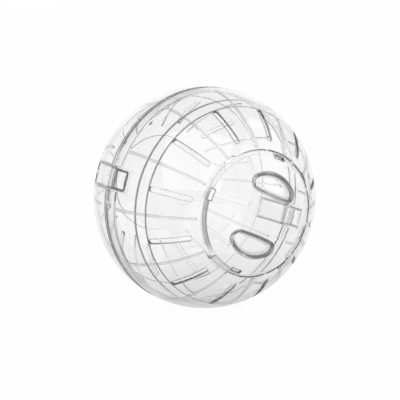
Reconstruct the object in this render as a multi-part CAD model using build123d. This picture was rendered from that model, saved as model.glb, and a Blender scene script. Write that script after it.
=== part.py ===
from build123d import *
import os
from math import asin, cos, degrees, radians, sin, tan

# A clear exercise ball for a small pet: two half shells, a twist-lock door and two swing clips.
# Every piece is drawn about the door axis: local +Z runs from the centre out through the door, polar
# angles start at that axis, and azimuths run anticlockwise seen from the door, from the line through
# the two clips. The last step turns the drawing into the part's own frame, where the door faces -Y.

# Ball
ball_radius = 70.0
wall = 1.8
# How far a cut passes the faces that it opens
overrun = 2.0
# How far a feature sinks into the wall that carries it
bond = 0.4
# How closely an edge's length has to match a size to be picked by it
pick_tolerance = 0.05

# Seam: the rear half's tongue slides under the front half's rim
seam_gap = 0.15
tongue_height = 8.2
tongue_wall = 1.4
tongue_gap = 0.25
tongue_root = 3.4
rim_rebate_width = 2.8
rear_rebate_width = 1.3
rim_rebate_depth = 0.5

# Key on the rear rim that lets the halves meet in one position only
key_azimuth = 189.4
key_width = 7.2
key_height = 2.9
key_gap = 0.3

# Door opening and the door's edge
door_edge_angle = 33.3
door_gap = 0.3
door_rim_width = 2.8
door_rim_step = 0.4
door_azimuth = 81.0

# Bayonet lock: lugs on the door, ledges and entry notches on the front half
lug_count = 4
lug_width = 7.0
lug_reach = 1.1
lug_root = 1.4
lug_wall = 1.4
lug_gap = 0.25
unlock_angle = 54.0
notch_gap = 0.5
ledge_root = 2.0
ledge_gap = 0.25
spring_window_length = 2.4
spring_window_gap = 0.2

# Finger pockets in the door: a straight inner side and a round outer side
pocket_offset = 13.5
pocket_reach = 12.1
pocket_half_chord = 19.0
pocket_corner = 4.0
pocket_depth = 3.2
pocket_wall = 1.5
pocket_draft_angle = 22.0

# Band ring and grip ridges, on the inside
band_angle = 61.65
band_width = 7.5
band_step = 0.5
ridge_count = 12
ridge_width = 1.4
ridge_height = 0.8
ridge_door_gap = 2.6
ridge_tongue_gap = 2.2

# Vent slots
slot_count = 12
slot_width = 2.7
slot_door_gap = 6.7
slot_band_gap = 1.2

# Moulded circle at the rear pole
pole_disc_radius = 33.6
pole_disc_step = 0.4

# Clip channels, sunk into both halves across the seam: deep on the rear half, a shallow bed on the front half
channel_front_angle = 75.2
channel_rear_angle = 111.5
channel_width = 13.0
channel_wall = 1.6
channel_side = 1.1
bed_wall = 0.8
bed_margin = 1.0

# Clips: a thick strap on the rear half and a thinner loop that lies on the front half
clip_recess = 0.8
clip_wall = 2.2
clip_floor_gap = 0.4
loop_recess = 0.1
loop_wall = 1.0
loop_floor_gap = 0.2
loop_overlap = 2.8
strap_setback = 0.8
clip_side_gap = 0.3
clip_end_gap = 0.7
clip_bar = 1.3
clip_corner = 1.5
clip_window_length = 9.0
clip_groove_setback = 2.8
clip_groove_width = 3.5
clip_groove_depth = 0.5
pin_radius = 0.8
pin_gap = 0.1
pin_setback = 2.6

# Catch nubs on the front half, inside the clips' windows
nub_length = 2.1
nub_width = 6.0
nub_height = 0.8
nub_gap = 0.3

# Azimuth that no slot, ridge, lug or clip crosses, where full turns start and end
blank_azimuth = 22.5

# Turn of the drawing about the door axis, in the part's own frame
roll_angle = -16.25

inner_radius = ball_radius - wall
clip_outer_radius = ball_radius - clip_recess
clip_inner_radius = clip_outer_radius - clip_wall
channel_floor_radius = clip_inner_radius - clip_floor_gap
loop_outer_radius = ball_radius - loop_recess
loop_inner_radius = loop_outer_radius - loop_wall
bed_floor_radius = loop_inner_radius - loop_floor_gap
opening_radius = ball_radius * sin(radians(door_edge_angle))


def arc(length):
    """Polar angle in degrees that a length along the ball's outer surface takes up."""
    return degrees(length / ball_radius)


def rim_arc(length):
    """Azimuth in degrees that a length along the door opening's edge takes up."""
    return degrees(length / opening_radius)


def polar(radius, angle):
    """Point of the half plane beside the door axis, at a radius and a polar angle."""
    return (radius * sin(radians(angle)), radius * cos(radians(angle)))


def outline(corners):
    """Face in the plane of azimuth zero, from corners given as radius and polar angle.

    Two neighbouring corners of one radius are joined by an arc about the centre, others by a line.
    """
    edges = []
    for (radius, angle), (next_radius, next_angle) in zip(corners, corners[1:] + corners[:1]):
        if radius == next_radius:
            edges.append(CenterArc((0, 0), radius, 90 - angle, angle - next_angle))
        else:
            edges.append(Line(polar(radius, angle), polar(next_radius, next_angle)))
    return Plane.XZ * make_face(edges)


def sector(inner, outer, start, end):
    """Corners of a ring sector between two radii and two polar angles."""
    return [(outer, start), (outer, end), (inner, end), (inner, start)]


def turned(corners):
    """Full ring with the outline given, turned about the door axis."""
    return Rot(0, 0, blank_azimuth) * revolve(outline(corners), Axis.Z, 360)


def block(corners, azimuth, width):
    """Part of such a ring, centred on an azimuth and as wide as the turn given."""
    return Rot(0, 0, azimuth - width / 2) * revolve(outline(corners), Axis.Z, width)


def slab(corners, width):
    """The outline at azimuth zero with a thickness across it."""
    return extrude(outline(corners), width / 2, both=True)


def core(radius):
    """Ball about the centre, to trim or stop a feature at a radius."""
    return Rot(0, 0, blank_azimuth) * Sphere(radius)


def around(solid, count, first=0):
    """Copies of a solid, evenly turned about the door axis."""
    return [Rot(0, 0, first + 360 * number / count) * solid for number in range(count)]


def cross_pin(radius, length):
    """Round bar across a clip, on its pivot axis."""
    x, z = polar(pin_axis_radius, pin_angle)
    return Pos(x, 0, z) * Rot(90, 0, 0) * Cylinder(radius, length)


# Polar angles that follow from the sizes
tongue_tip_angle = 90 - degrees(asin(tongue_height / ball_radius))
tongue_root_angle = 90 + arc(tongue_root)
rim_rebate_angle = 90 - arc(rim_rebate_width)
rear_rebate_angle = 90 + arc(rear_rebate_width)
band_end_angle = band_angle + arc(band_width)
ridge_start_angle = door_edge_angle + arc(ridge_door_gap)
ridge_end_angle = tongue_tip_angle - arc(ridge_tongue_gap)
slot_start_angle = door_edge_angle + arc(slot_door_gap)
slot_end_angle = band_angle - arc(slot_band_gap)
door_outer_angle = door_edge_angle - arc(door_gap)
door_rim_angle = door_edge_angle - arc(door_rim_width)
lug_tip_angle = door_edge_angle + arc(lug_reach)
lug_root_angle = door_outer_angle - arc(lug_root)
pole_disc_angle = 180 - degrees(asin(pole_disc_radius / ball_radius))
pin_angle = channel_rear_angle - arc(pin_setback)
pin_axis_radius = (clip_inner_radius + clip_outer_radius) / 2
clip_front_angle = channel_front_angle + arc(clip_end_gap)
clip_window_start = clip_front_angle + arc(clip_bar)
clip_window_end = clip_window_start + arc(clip_window_length)
lug_half_turn = rim_arc(lug_width / 2)
notch_half_turn = lug_half_turn + rim_arc(notch_gap)


# Features that both halves share

def vent_slot():
    """Cutter of one slot: a slab along a meridian with a round end at each end."""
    end_turn = arc(slot_width / 2)
    low = inner_radius - ridge_height - overrun
    high = ball_radius + overrun
    first = slot_start_angle + end_turn
    last = slot_end_angle - end_turn
    cutter = slab(sector(low, high, first, last), slot_width)
    for angle in (first, last):
        across = Plane.XY.rotated((0, angle, 0))
        cutter += across * Pos(0, 0, (low + high) / 2) * Cylinder(slot_width / 2, high - low)
    return cutter


def grip_ridges():
    """Thin ribs along the meridians between the slots, on the inside."""
    low = inner_radius - ridge_height
    ridge = slab(sector(low, inner_radius + bond, ridge_start_angle, ridge_end_angle), ridge_width)
    return around(ridge, ridge_count, 180 / ridge_count)


# Front half

def front_profile():
    """Wall of the front half, with the rebate outside its rim and the band inside."""
    band_radius = inner_radius - band_step
    rebate_radius = ball_radius - rim_rebate_depth
    return [
        (ball_radius, door_edge_angle),
        (ball_radius, rim_rebate_angle),
        (rebate_radius, rim_rebate_angle),
        (rebate_radius, 90),
        (inner_radius, 90),
        (inner_radius, band_end_angle),
        (band_radius, band_end_angle),
        (band_radius, band_angle),
        (inner_radius, band_angle),
        (inner_radius, door_edge_angle),
    ]


def clip_beds():
    """Pads inside the wall under the two clips' loops, before the beds themselves are cut."""
    low = bed_floor_radius - bed_wall
    start = channel_front_angle - arc(bed_margin)
    pad = slab(sector(low, ball_radius, start, 90), channel_width + 2 * bed_margin)
    return around(pad & core(ball_radius - wall / 2), 2)


def bed_cuts():
    """Shallow spaces that the loops lie in, open to the outside and to the seam."""
    space = sector(bed_floor_radius, ball_radius + overrun, channel_front_angle, 90 + arc(overrun))
    return around(slab(space, channel_width), 2)


def catch_nub():
    """Ramped block on a bed's floor that the clip's front bar snaps over."""
    start = clip_window_start + arc(nub_gap)
    end = start + arc(nub_length)
    top = bed_floor_radius + nub_height
    low = bed_floor_radius - bond
    ramp = bed_floor_radius + nub_height / 2
    corners = [(low, start), (ramp, start), (top, (start + end) / 2), (top, end), (low, end)]
    return slab(corners, nub_width)


def door_ledge():
    """Step under the door's edge that it rests on, and that stops a lug when the door is locked."""
    high = inner_radius - ledge_gap
    root_start = door_edge_angle + arc(bond)
    root_end = door_edge_angle + arc(ledge_root)
    corners = [
        (high, door_rim_angle),
        (high, root_start),
        (inner_radius + bond, root_start),
        (inner_radius + bond, root_end),
        (high - lug_wall, root_end),
        (high - lug_wall, door_rim_angle),
    ]
    lock_side = lug_half_turn + rim_arc(lug_gap)
    notch_side = 360 / lug_count - unlock_angle - notch_half_turn
    return block(corners, -(lock_side + notch_side) / 2, notch_side - lock_side)


def entry_notch():
    """Cutter of a notch in the opening's edge that a lug passes through."""
    start = door_edge_angle - arc(overrun)
    end = lug_tip_angle + arc(notch_gap)
    space = sector(inner_radius - overrun, ball_radius + overrun, start, end)
    return block(space, unlock_angle, 2 * notch_half_turn)


def key_cut():
    """Cutter of the notch in the front rim that the rear rim's key fits."""
    start = 90 - arc(key_height + key_gap)
    space = sector(inner_radius - overrun, ball_radius + overrun, start, 90 + arc(overrun))
    return block(space, key_azimuth, arc(key_width + 2 * key_gap))


def front_shell():
    """Half with the door opening."""
    shell = turned(front_profile())
    shell += clip_beds()
    shell -= bed_cuts()
    shell += around(catch_nub(), 2)
    shell += grip_ridges()
    shell += around(door_ledge(), lug_count, door_azimuth)
    shell -= around(entry_notch(), lug_count, door_azimuth)
    shell -= around(vent_slot(), slot_count)
    shell -= key_cut()
    return split(shell, Plane.XY.offset(seam_gap), keep=Keep.TOP)


# Rear half

def rear_profile():
    """Wall of the rear half, with the moulded circle at its pole, the band and the tongue."""
    disc_radius = inner_radius - pole_disc_step
    band_radius = inner_radius - band_step
    rebate_radius = ball_radius - rim_rebate_depth
    tongue_high = inner_radius - tongue_gap
    tongue_low = tongue_high - tongue_wall
    return [
        (rebate_radius, 90),
        (rebate_radius, rear_rebate_angle),
        (ball_radius, rear_rebate_angle),
        (ball_radius, 180),
        (disc_radius, 180),
        (disc_radius, pole_disc_angle),
        (inner_radius, pole_disc_angle),
        (inner_radius, 180 - band_angle),
        (band_radius, 180 - band_angle),
        (band_radius, 180 - band_end_angle),
        (inner_radius, 180 - band_end_angle),
        (inner_radius, tongue_root_angle),
        (tongue_low, tongue_root_angle),
        (tongue_low, tongue_tip_angle),
        (tongue_high, tongue_tip_angle),
        (tongue_high, 90),
    ]


def channel_trays():
    """Floors and walls under the two clip channels, before the channels themselves are cut."""
    low = channel_floor_radius - channel_wall
    end = channel_rear_angle + arc(channel_wall)
    tray = slab(sector(low, ball_radius, 90, end), channel_width + 2 * channel_side)
    return around(tray & core(ball_radius - wall / 2), 2)


def channel_cuts():
    """Spaces that the straps lie in, open to the outside and to the seam."""
    space = sector(channel_floor_radius, ball_radius + overrun, 90 - arc(overrun), channel_rear_angle)
    return around(slab(space, channel_width), 2)


def tongue_breaks():
    """Cutters that take the tongue away where the clips pass."""
    low = channel_floor_radius - channel_wall - overrun
    space = sector(low, ball_radius + overrun, tongue_tip_angle - arc(overrun), 90)
    return around(slab(space, channel_width + 2 * channel_side + 2 * tongue_gap), 2)


def key():
    """Block on the rear rim, rooted in the wall and the tongue."""
    low = inner_radius - tongue_gap - bond
    high = ball_radius - rim_rebate_depth / 2
    return block(sector(low, high, 90 - arc(key_height), 90 + arc(bond)), key_azimuth, arc(key_width))


def rear_shell():
    """Half without an opening."""
    shell = turned(rear_profile())
    shell -= tongue_breaks()
    shell += channel_trays()
    shell -= channel_cuts()
    shell -= around(cross_pin(pin_radius + pin_gap, channel_width + 2 * channel_side + overrun), 2)
    shell += [mirror(ridge, Plane.XY) for ridge in grip_ridges()]
    shell += key()
    return shell - [mirror(cutter, Plane.XY) for cutter in around(vent_slot(), slot_count)]


# Door

def door_profile():
    """Wall of the lid, with the lower rim outside."""
    rim_radius = ball_radius - door_rim_step
    return [
        (ball_radius, 0),
        (ball_radius, door_rim_angle),
        (rim_radius, door_rim_angle),
        (rim_radius, door_outer_angle),
        (inner_radius, door_outer_angle),
        (inner_radius, 0),
    ]


def pocket_outline(margin):
    """D shape on the door's face: a chord towards the centre and an arc away from it."""
    chord = [(pocket_offset, -pocket_half_chord), (pocket_offset, pocket_half_chord)]
    apex = (pocket_offset + pocket_reach, 0)
    sketch = make_face([Line(*chord), ThreePointArc(chord[0], apex, chord[1])])
    sketch = fillet(sketch.vertices(), pocket_corner)
    return offset(sketch, margin)


def pocket_body(margin):
    """Tapered plug of a pocket's outline, wider by a margin all round."""
    surface_height = ball_radius * cos(asin((pocket_offset + pocket_reach / 2) / ball_radius))
    taper = tan(radians(pocket_draft_angle))
    top = ball_radius + overrun
    face = Pos(0, 0, top) * pocket_outline(margin + taper * (top - surface_height))
    drop = top - surface_height + 2 * (pocket_depth + pocket_wall)
    return extrude(face, -drop, taper=pocket_draft_angle)


def pocket_cup():
    """Floor and walls of a pocket, before it is hollowed."""
    low = ball_radius - pocket_depth - pocket_wall
    return (pocket_body(pocket_wall) & core(ball_radius - wall / 2)) - core(low)


def pocket_hollow():
    """Cutter of a pocket, with a floor that follows the ball."""
    return pocket_body(0) - core(ball_radius - pocket_depth)


def door_lug():
    """Hook under the door's edge that reaches below the front half's wall."""
    high = inner_radius - lug_gap
    root_end = door_outer_angle - arc(bond)
    corners = [
        (inner_radius + bond, lug_root_angle),
        (inner_radius + bond, root_end),
        (high, root_end),
        (high, lug_tip_angle),
        (high - lug_wall, lug_tip_angle),
        (high - lug_wall, lug_root_angle),
    ]
    return block(corners, 0, 2 * lug_half_turn)


def spring_window():
    """Cutter of the window beside a lug, which lets the lug's bar give a little."""
    start = lug_root_angle - arc(spring_window_length)
    end = lug_root_angle - arc(spring_window_gap)
    space = sector(inner_radius - overrun, ball_radius + overrun, start, end)
    return block(space, 0, 2 * lug_half_turn)


def door():
    """Domed lid with its pockets, lugs and spring windows."""
    lid = turned(door_profile())
    lid += around(pocket_cup(), 2, door_azimuth)
    lid -= around(pocket_hollow(), 2, door_azimuth)
    lid += around(door_lug(), lug_count, door_azimuth)
    return lid - around(spring_window(), lug_count, door_azimuth)


# Clips

def clip():
    """Loop clip with its strap and trunnions, at azimuth zero."""
    width = channel_width - 2 * clip_side_gap
    loop_end = 90 + arc(loop_overlap)
    loop = slab(sector(loop_inner_radius, loop_outer_radius, clip_front_angle, loop_end), width)
    corners = loop.edges().filter_by(lambda edge: abs(edge.length - loop_wall) < pick_tolerance)
    loop = fillet(corners.sort_by(Axis.Z)[-2:], clip_corner)
    low = loop_inner_radius - overrun
    high = loop_outer_radius + overrun
    loop -= slab(sector(low, high, clip_window_start, clip_window_end), width - 2 * clip_bar)
    groove_start = clip_window_end + arc(clip_groove_setback)
    groove_end = groove_start + arc(clip_groove_width)
    groove_floor = loop_outer_radius - clip_groove_depth
    loop -= slab(sector(groove_floor, high, groove_start, groove_end), width + overrun)
    strap_start = 90 + arc(strap_setback)
    strap = slab(sector(clip_inner_radius, clip_outer_radius, strap_start, pin_angle), width)
    strap += cross_pin(clip_wall / 2, width)
    return loop + strap + cross_pin(pin_radius, channel_width + 2 * channel_side - 2 * clip_side_gap)


pieces = {
    "front_shell": front_shell(),
    "rear_shell": rear_shell(),
    "door": door(),
    "right_clip": clip(),
    "left_clip": Rot(0, 0, 180) * clip(),
}

os.makedirs("parts", exist_ok=True)
for name, piece in pieces.items():
    placed = Rot(90, 0, 0) * Rot(0, 0, roll_angle) * piece
    export_step(placed, "parts/" + name + ".step")
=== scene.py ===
import logging
import math
from dataclasses import dataclass, field
from enum import Enum

import bmesh
import bpy
import numpy as np
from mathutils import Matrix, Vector
from numpy.typing import ArrayLike, NDArray


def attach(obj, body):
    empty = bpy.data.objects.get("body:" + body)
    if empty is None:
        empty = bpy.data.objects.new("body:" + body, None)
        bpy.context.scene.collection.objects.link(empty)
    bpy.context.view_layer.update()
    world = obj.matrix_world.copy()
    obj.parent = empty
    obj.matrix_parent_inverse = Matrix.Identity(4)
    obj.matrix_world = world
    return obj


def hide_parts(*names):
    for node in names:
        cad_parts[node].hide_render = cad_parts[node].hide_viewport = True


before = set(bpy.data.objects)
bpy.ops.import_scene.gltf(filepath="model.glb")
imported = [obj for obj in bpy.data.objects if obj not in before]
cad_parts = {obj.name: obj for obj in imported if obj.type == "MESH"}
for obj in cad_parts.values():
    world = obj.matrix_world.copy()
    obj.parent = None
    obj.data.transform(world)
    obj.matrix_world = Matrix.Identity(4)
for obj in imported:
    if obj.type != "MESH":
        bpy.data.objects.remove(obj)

# A clear exercise ball for a small pet. Each piece is worked out in millimetres about the door axis:
# local +Z runs from the centre out through the door, and azimuths start at the line through the clips.

Array = NDArray[np.float64]
Index = NDArray[np.int64]
MM = 0.001
QUARTER = math.pi / 2
# Welding: steps in a millimetre, a shift that keeps coordinates positive, a factor that keeps axes apart
WELD_STEPS = 2000
WELD_SHIFT = 200.000317
WELD_FACTOR = 1_000_003
# Lengths in millimetres and turns in degrees that differ by less count as the same
TOUCH = 0.01
SMALL = 1e-6
TURN_SLACK = 1e-4
log = logging.getLogger("hamster_ball")


class Half(Enum):
    """The two halves of the ball."""

    FRONT = "front"
    REAR = "rear"


class Side(Enum):
    """The two clips, each with the azimuth that it lies at, in degrees."""

    RIGHT = 0.0
    LEFT = 180.0


@dataclass(frozen=True)
class Ball:
    """Sizes that the pieces share, in millimetres, and polar angles in degrees from the door axis."""

    radius: float = 70.0
    wall: float = 1.8
    roll: float = -16.25
    sectors: int = 12
    door_edge: float = 33.3
    band_start: float = 61.65
    band_width: float = 7.5
    band_step: float = 0.5
    ridge_half: float = 0.7
    ridge_height: float = 0.8
    ridge_door_gap: float = 2.6
    ridge_end: float = 81.46
    slot_half: float = 1.35
    slot_door_gap: float = 6.7
    slot_band_gap: float = 1.2
    seam_gap: float = 0.15
    channel_front: float = 75.2
    channel_rear: float = 111.5
    channel_half: float = 6.5
    channel_depth: float = 3.4
    channel_wall: float = 1.6
    tray_depth: float = 3.2
    channel_side: float = 1.1
    bed_depth: float = 1.3
    bed_margin: float = 1.0
    bed_pad: float = 0.3
    mould_round: float = 0.4

    @property
    def seam(self) -> float:
        """Length along the surface from the door pole to the seam."""
        return self.along(90.0)

    @property
    def pole(self) -> float:
        """Length along the surface from the door pole to the rear pole."""
        return self.along(180.0)

    def along(self, angle: float) -> float:
        """Length along the surface from the door pole to a polar angle in degrees."""
        return self.radius * math.radians(angle)

    def place(self, along: ArrayLike, height: ArrayLike, azimuth: ArrayLike) -> Array:
        """Points on the ball: polar angle = along / radius, and distance from the centre = radius + height.

        Args:
            along: Length along the outer surface from the door pole, in millimetres.
            height: Height above the outer surface, in millimetres.
            azimuth: Turn about the door axis, in radians.

        Returns:
            Local points in millimetres, with one more axis than the inputs.
        """
        polar, height, azimuth = np.broadcast_arrays(np.asarray(along) / self.radius, height, azimuth)
        far = self.radius + height
        ring = far * np.sin(polar)
        return np.stack([ring * np.cos(azimuth), ring * np.sin(azimuth), far * np.cos(polar)], axis=-1)

    def to_world(self, points: Array) -> Array:
        """Turns local points about the door axis by the roll, faces the door to -Y and goes to metres.

        Args:
            points: Local points in millimetres, one row each.

        Returns:
            Points in the part's frame, in metres.
        """
        turn = math.radians(self.roll)
        x = points[:, 0] * math.cos(turn) - points[:, 1] * math.sin(turn)
        y = points[:, 0] * math.sin(turn) + points[:, 1] * math.cos(turn)
        return np.stack([x, -points[:, 2], y], axis=1) * MM


def rounded_step(depth: float, top: float, foot: float, count: int = 4) -> tuple[Array, Array]:
    """Section of a step down with a quarter circle at its top edge and one at its foot.

    At the top, offset = top * (1 - sin a) and drop = top * (1 - cos a). At the foot,
    offset = -foot * (1 - cos a) and drop = depth - foot + foot * sin a, with a from 0 to a right angle.

    Args:
        depth: Height of the step.
        top: Radius at the top edge.
        foot: Radius at the foot.
        count: Points in each quarter circle.

    Returns:
        Offsets from the step's face, positive on the high side, and drops below the high side.
    """
    fit = min(1.0, depth / (top + foot))
    top, foot = top * fit, foot * fit
    a = np.linspace(0, QUARTER, count)
    offset = np.concatenate([top * (1 - np.sin(a)), -foot * (1 - np.cos(a))])
    drop = np.concatenate([top * (1 - np.cos(a)), depth - foot + foot * np.sin(a)])
    return offset, drop


def quarter_round(radius: float, count: int = 4) -> tuple[Array, Array]:
    """Offsets of a quarter circle: radius * (1 - cos a) and radius * (1 - sin a), up to a right angle.

    Args:
        radius: Radius of the circle.
        count: Points in the quarter circle.

    Returns:
        The offsets that grow from 0 to the radius, and those that shrink from the radius to 0.
    """
    a = np.linspace(0, QUARTER, count)
    return radius * (1 - np.cos(a)), radius * (1 - np.sin(a))


def edge_round(distance: Array, radius: float) -> Array:
    """Drop of a quarter-round edge: radius - sqrt(radius^2 - (radius - distance)^2) within the radius."""
    inside = np.clip(radius - distance, 0, radius)
    return radius - np.sqrt(np.maximum(radius**2 - inside**2, 0))


def flank(share: Array) -> Array:
    """1 on the flank of a feature and 0 on its foot and top: 6 * share * (1 - share), at most 1."""
    return np.minimum(6 * share * (1 - share), 1)


def window(azimuth: Array, start: float, end: float, blend: float) -> Array:
    """Share that is 1 between two azimuths and falls to 0 over a blend centred on each.

    Args:
        azimuth: Azimuths in degrees.
        start: First edge, in degrees.
        end: Second edge, in degrees.
        blend: Width of each ramp, in degrees.

    Returns:
        Shares from 0 to 1.
    """
    middle, reach = (start + end) / 2, (end - start) / 2
    off = np.abs((azimuth - middle + 180) % 360 - 180)
    return np.clip((reach - off) / blend + 0.5, 0, 1)


def grid_quads(rows: int, columns: int, closed_rows: bool = False, closed_columns: bool = False) -> Index:
    """Vertex numbers of the quads of a grid that is stored row by row.

    Args:
        rows: Rows of vertices.
        columns: Vertices in each row.
        closed_rows: Whether the last row joins the first.
        closed_columns: Whether the last column joins the first.

    Returns:
        One row of four vertex numbers for each quad.
    """
    i = np.arange(rows if closed_rows else rows - 1)[:, None]
    j = np.arange(columns if closed_columns else columns - 1)[None, :]
    up, on = (i + 1) % rows, (j + 1) % columns
    corners = [i * columns + j, i * columns + on, up * columns + on, up * columns + j]
    return np.stack([np.broadcast_to(c, (i.size, j.size)).ravel() for c in corners], axis=1)


@dataclass
class Surface:
    """Patches of quads that make up one piece, with painted shade at each point: dark lines painted along
    moulded edges in place of the shade that refraction and reflection give them.
    """

    points: list[Array] = field(default_factory=list)
    quads: list[Index] = field(default_factory=list)
    shades: list[Array] = field(default_factory=list)
    count: int = 0

    def add(self, points: Array, quads: Index, shade: ArrayLike = 0.0) -> Index:
        """Takes in a patch.

        Args:
            points: Local points, in any grid shape with the coordinates last.
            quads: Vertex numbers within the patch.
            shade: Painted edge shade from 0 to 1, one number or one for each point.

        Returns:
            The numbers that the patch's vertices have in the whole piece, in the grid's shape.
        """
        first = self.count
        self.points.append(points.reshape(-1, 3))
        self.quads.append(quads + first)
        self.shades.append(np.broadcast_to(np.asarray(shade, float), points.shape[:-1]).ravel())
        self.count += points.size // 3
        return np.arange(first, self.count).reshape(points.shape[:-1])

    def join(self, one: Index, other: Index) -> None:
        """Adds a strip of quads between two lines of vertices of equal length."""
        self.quads.append(np.stack([one[:-1], one[1:], other[1:], other[:-1]], axis=1))

    def weld(self) -> tuple[Array, Array, Index, Index]:
        """Merges points that lie within half a micrometre and drops what that leaves empty.

        Returns:
            Points, their painted shades, the quads, and the triangles that quads with two merged corners
            become.
        """
        points, quads = np.concatenate(self.points), np.concatenate(self.quads)
        key = np.round((points + WELD_SHIFT) * WELD_STEPS).astype(np.int64)
        code = (key[:, 0] * WELD_FACTOR + key[:, 1]) * WELD_FACTOR + key[:, 2]
        _, first, number = np.unique(code, return_index=True, return_inverse=True)
        shade = np.zeros(first.size)
        np.maximum.at(shade, number.reshape(-1), np.concatenate(self.shades))
        quads = number.reshape(-1)[quads]
        twin = quads == np.roll(quads, -1, axis=1)
        crossed = (quads[:, 0] == quads[:, 2]) | (quads[:, 1] == quads[:, 3])
        fours = quads[(twin.sum(1) == 0) & ~crossed]
        pinched = (twin.sum(1) == 1) & ~crossed
        threes = quads[pinched][~twin[pinched]].reshape(-1, 3)
        used, corner = np.unique(np.concatenate([fours.ravel(), threes.ravel()]), return_inverse=True)
        four, three = np.split(corner.reshape(-1), [fours.size])
        return points[first][used], shade[used], four.reshape(-1, 4), three.reshape(-1, 3)

    def build(self, name: str, ball: Ball, sharp: float = 50.0) -> bpy.types.Object:
        """Welds the patches into one closed mesh with its faces outwards.

        Args:
            name: Name of the new object.
            ball: Sizes that turn local points into the part's frame.
            sharp: Angle in degrees above which an edge isn't smoothed.

        Returns:
            The new object, at the origin.
        """
        points, shade, fours, threes = self.weld()
        mesh = bpy.data.meshes.new(name)
        sizes = np.concatenate([np.full(len(fours), 4), np.full(len(threes), 3)])
        corners = np.concatenate([fours.ravel(), threes.ravel()])
        mesh.vertices.add(len(points))
        mesh.vertices.foreach_set("co", ball.to_world(points).astype(np.float32).ravel())
        mesh.loops.add(len(corners))
        mesh.loops.foreach_set("vertex_index", corners.astype(np.int32))
        mesh.polygons.add(len(sizes))
        mesh.polygons.foreach_set("loop_start", (np.cumsum(sizes) - sizes).astype(np.int32))
        mesh.update(calc_edges=True)
        # Painted shade: each point's darkening, which the plastic's tint takes, standing in for the shade
        # that refraction and reflection give moulded edges.
        mark = mesh.attributes.new("painted_edge_shade", "FLOAT", "POINT")
        mark.data.foreach_set("value", shade.astype(np.float32))
        mesh.validate()
        shape = bmesh.new()
        shape.from_mesh(mesh)
        bmesh.ops.recalc_face_normals(shape, faces=shape.faces)
        shape.to_mesh(mesh)
        shape.free()
        mesh.shade_smooth()
        mesh.set_sharp_from_angle(angle=math.radians(sharp))
        self.even_normals(mesh, sharp)
        edges = np.empty(len(mesh.loops), np.int32)
        mesh.loops.foreach_get("edge_index", edges)
        log.info("%s: %d open edges", name, np.count_nonzero(np.bincount(edges) != 2))
        piece = bpy.data.objects.new(name, mesh)
        bpy.context.scene.collection.objects.link(piece)
        return piece

    @staticmethod
    def even_normals(mesh: bpy.types.Mesh, sharp: float) -> None:
        """Gives every face corner a normal that keeps broad faces true right up to a rounded edge.

        A face's normal n is carried to a corner as n + (n . c) * (p - c), with c and p the unit directions
        from the ball's centre to the face's middle and to the corner, so that a face of the ball's wall gets
        the ball's own normal. A corner takes the mean of the faces round it that lean from its own by less
        than the sharp angle, weighted by their areas.

        Args:
            mesh: The mesh, centred on the ball.
            sharp: Angle in degrees above which an edge isn't smoothed.
        """
        faces, corners = len(mesh.polygons), len(mesh.loops)
        normal, middle, area = np.empty(faces * 3), np.empty(faces * 3), np.empty(faces)
        sides, point = np.empty(faces, np.int32), np.empty(corners, np.int32)
        place = np.empty(len(mesh.vertices) * 3)
        mesh.polygons.foreach_get("normal", normal)
        mesh.polygons.foreach_get("center", middle)
        mesh.polygons.foreach_get("area", area)
        mesh.polygons.foreach_get("loop_total", sides)
        mesh.loops.foreach_get("vertex_index", point)
        mesh.vertices.foreach_get("co", place)
        normal, middle, place = normal.reshape(-1, 3), middle.reshape(-1, 3), place.reshape(-1, 3)
        middle /= np.linalg.norm(middle, axis=1)[:, None]
        place /= np.linalg.norm(place, axis=1)[:, None]
        order = np.argsort(point, kind="stable")
        point, face = point[order], np.repeat(np.arange(faces), sides)[order]
        count = np.bincount(point)
        group = np.cumsum(count) - count
        one = np.repeat(np.arange(corners), count[point])
        reach = np.cumsum(count[point]) - count[point]
        other = group[point[one]] + np.arange(one.size) - reach[one]
        near, far = face[one], face[other]
        facing = (normal[far] * middle[far]).sum(axis=1)[:, None]
        carried = normal[far] + facing * (place[point[one]] - middle[far])
        joined = (normal[near] * normal[far]).sum(axis=1) > math.cos(math.radians(sharp))
        share = (area[far] * joined)[:, None] * carried
        even = np.empty((corners, 3))
        for axis in range(3):
            even[order, axis] = np.bincount(one, weights=share[:, axis], minlength=corners)
        mesh.normals_split_custom_set(even / np.linalg.norm(even, axis=1)[:, None])


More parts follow.
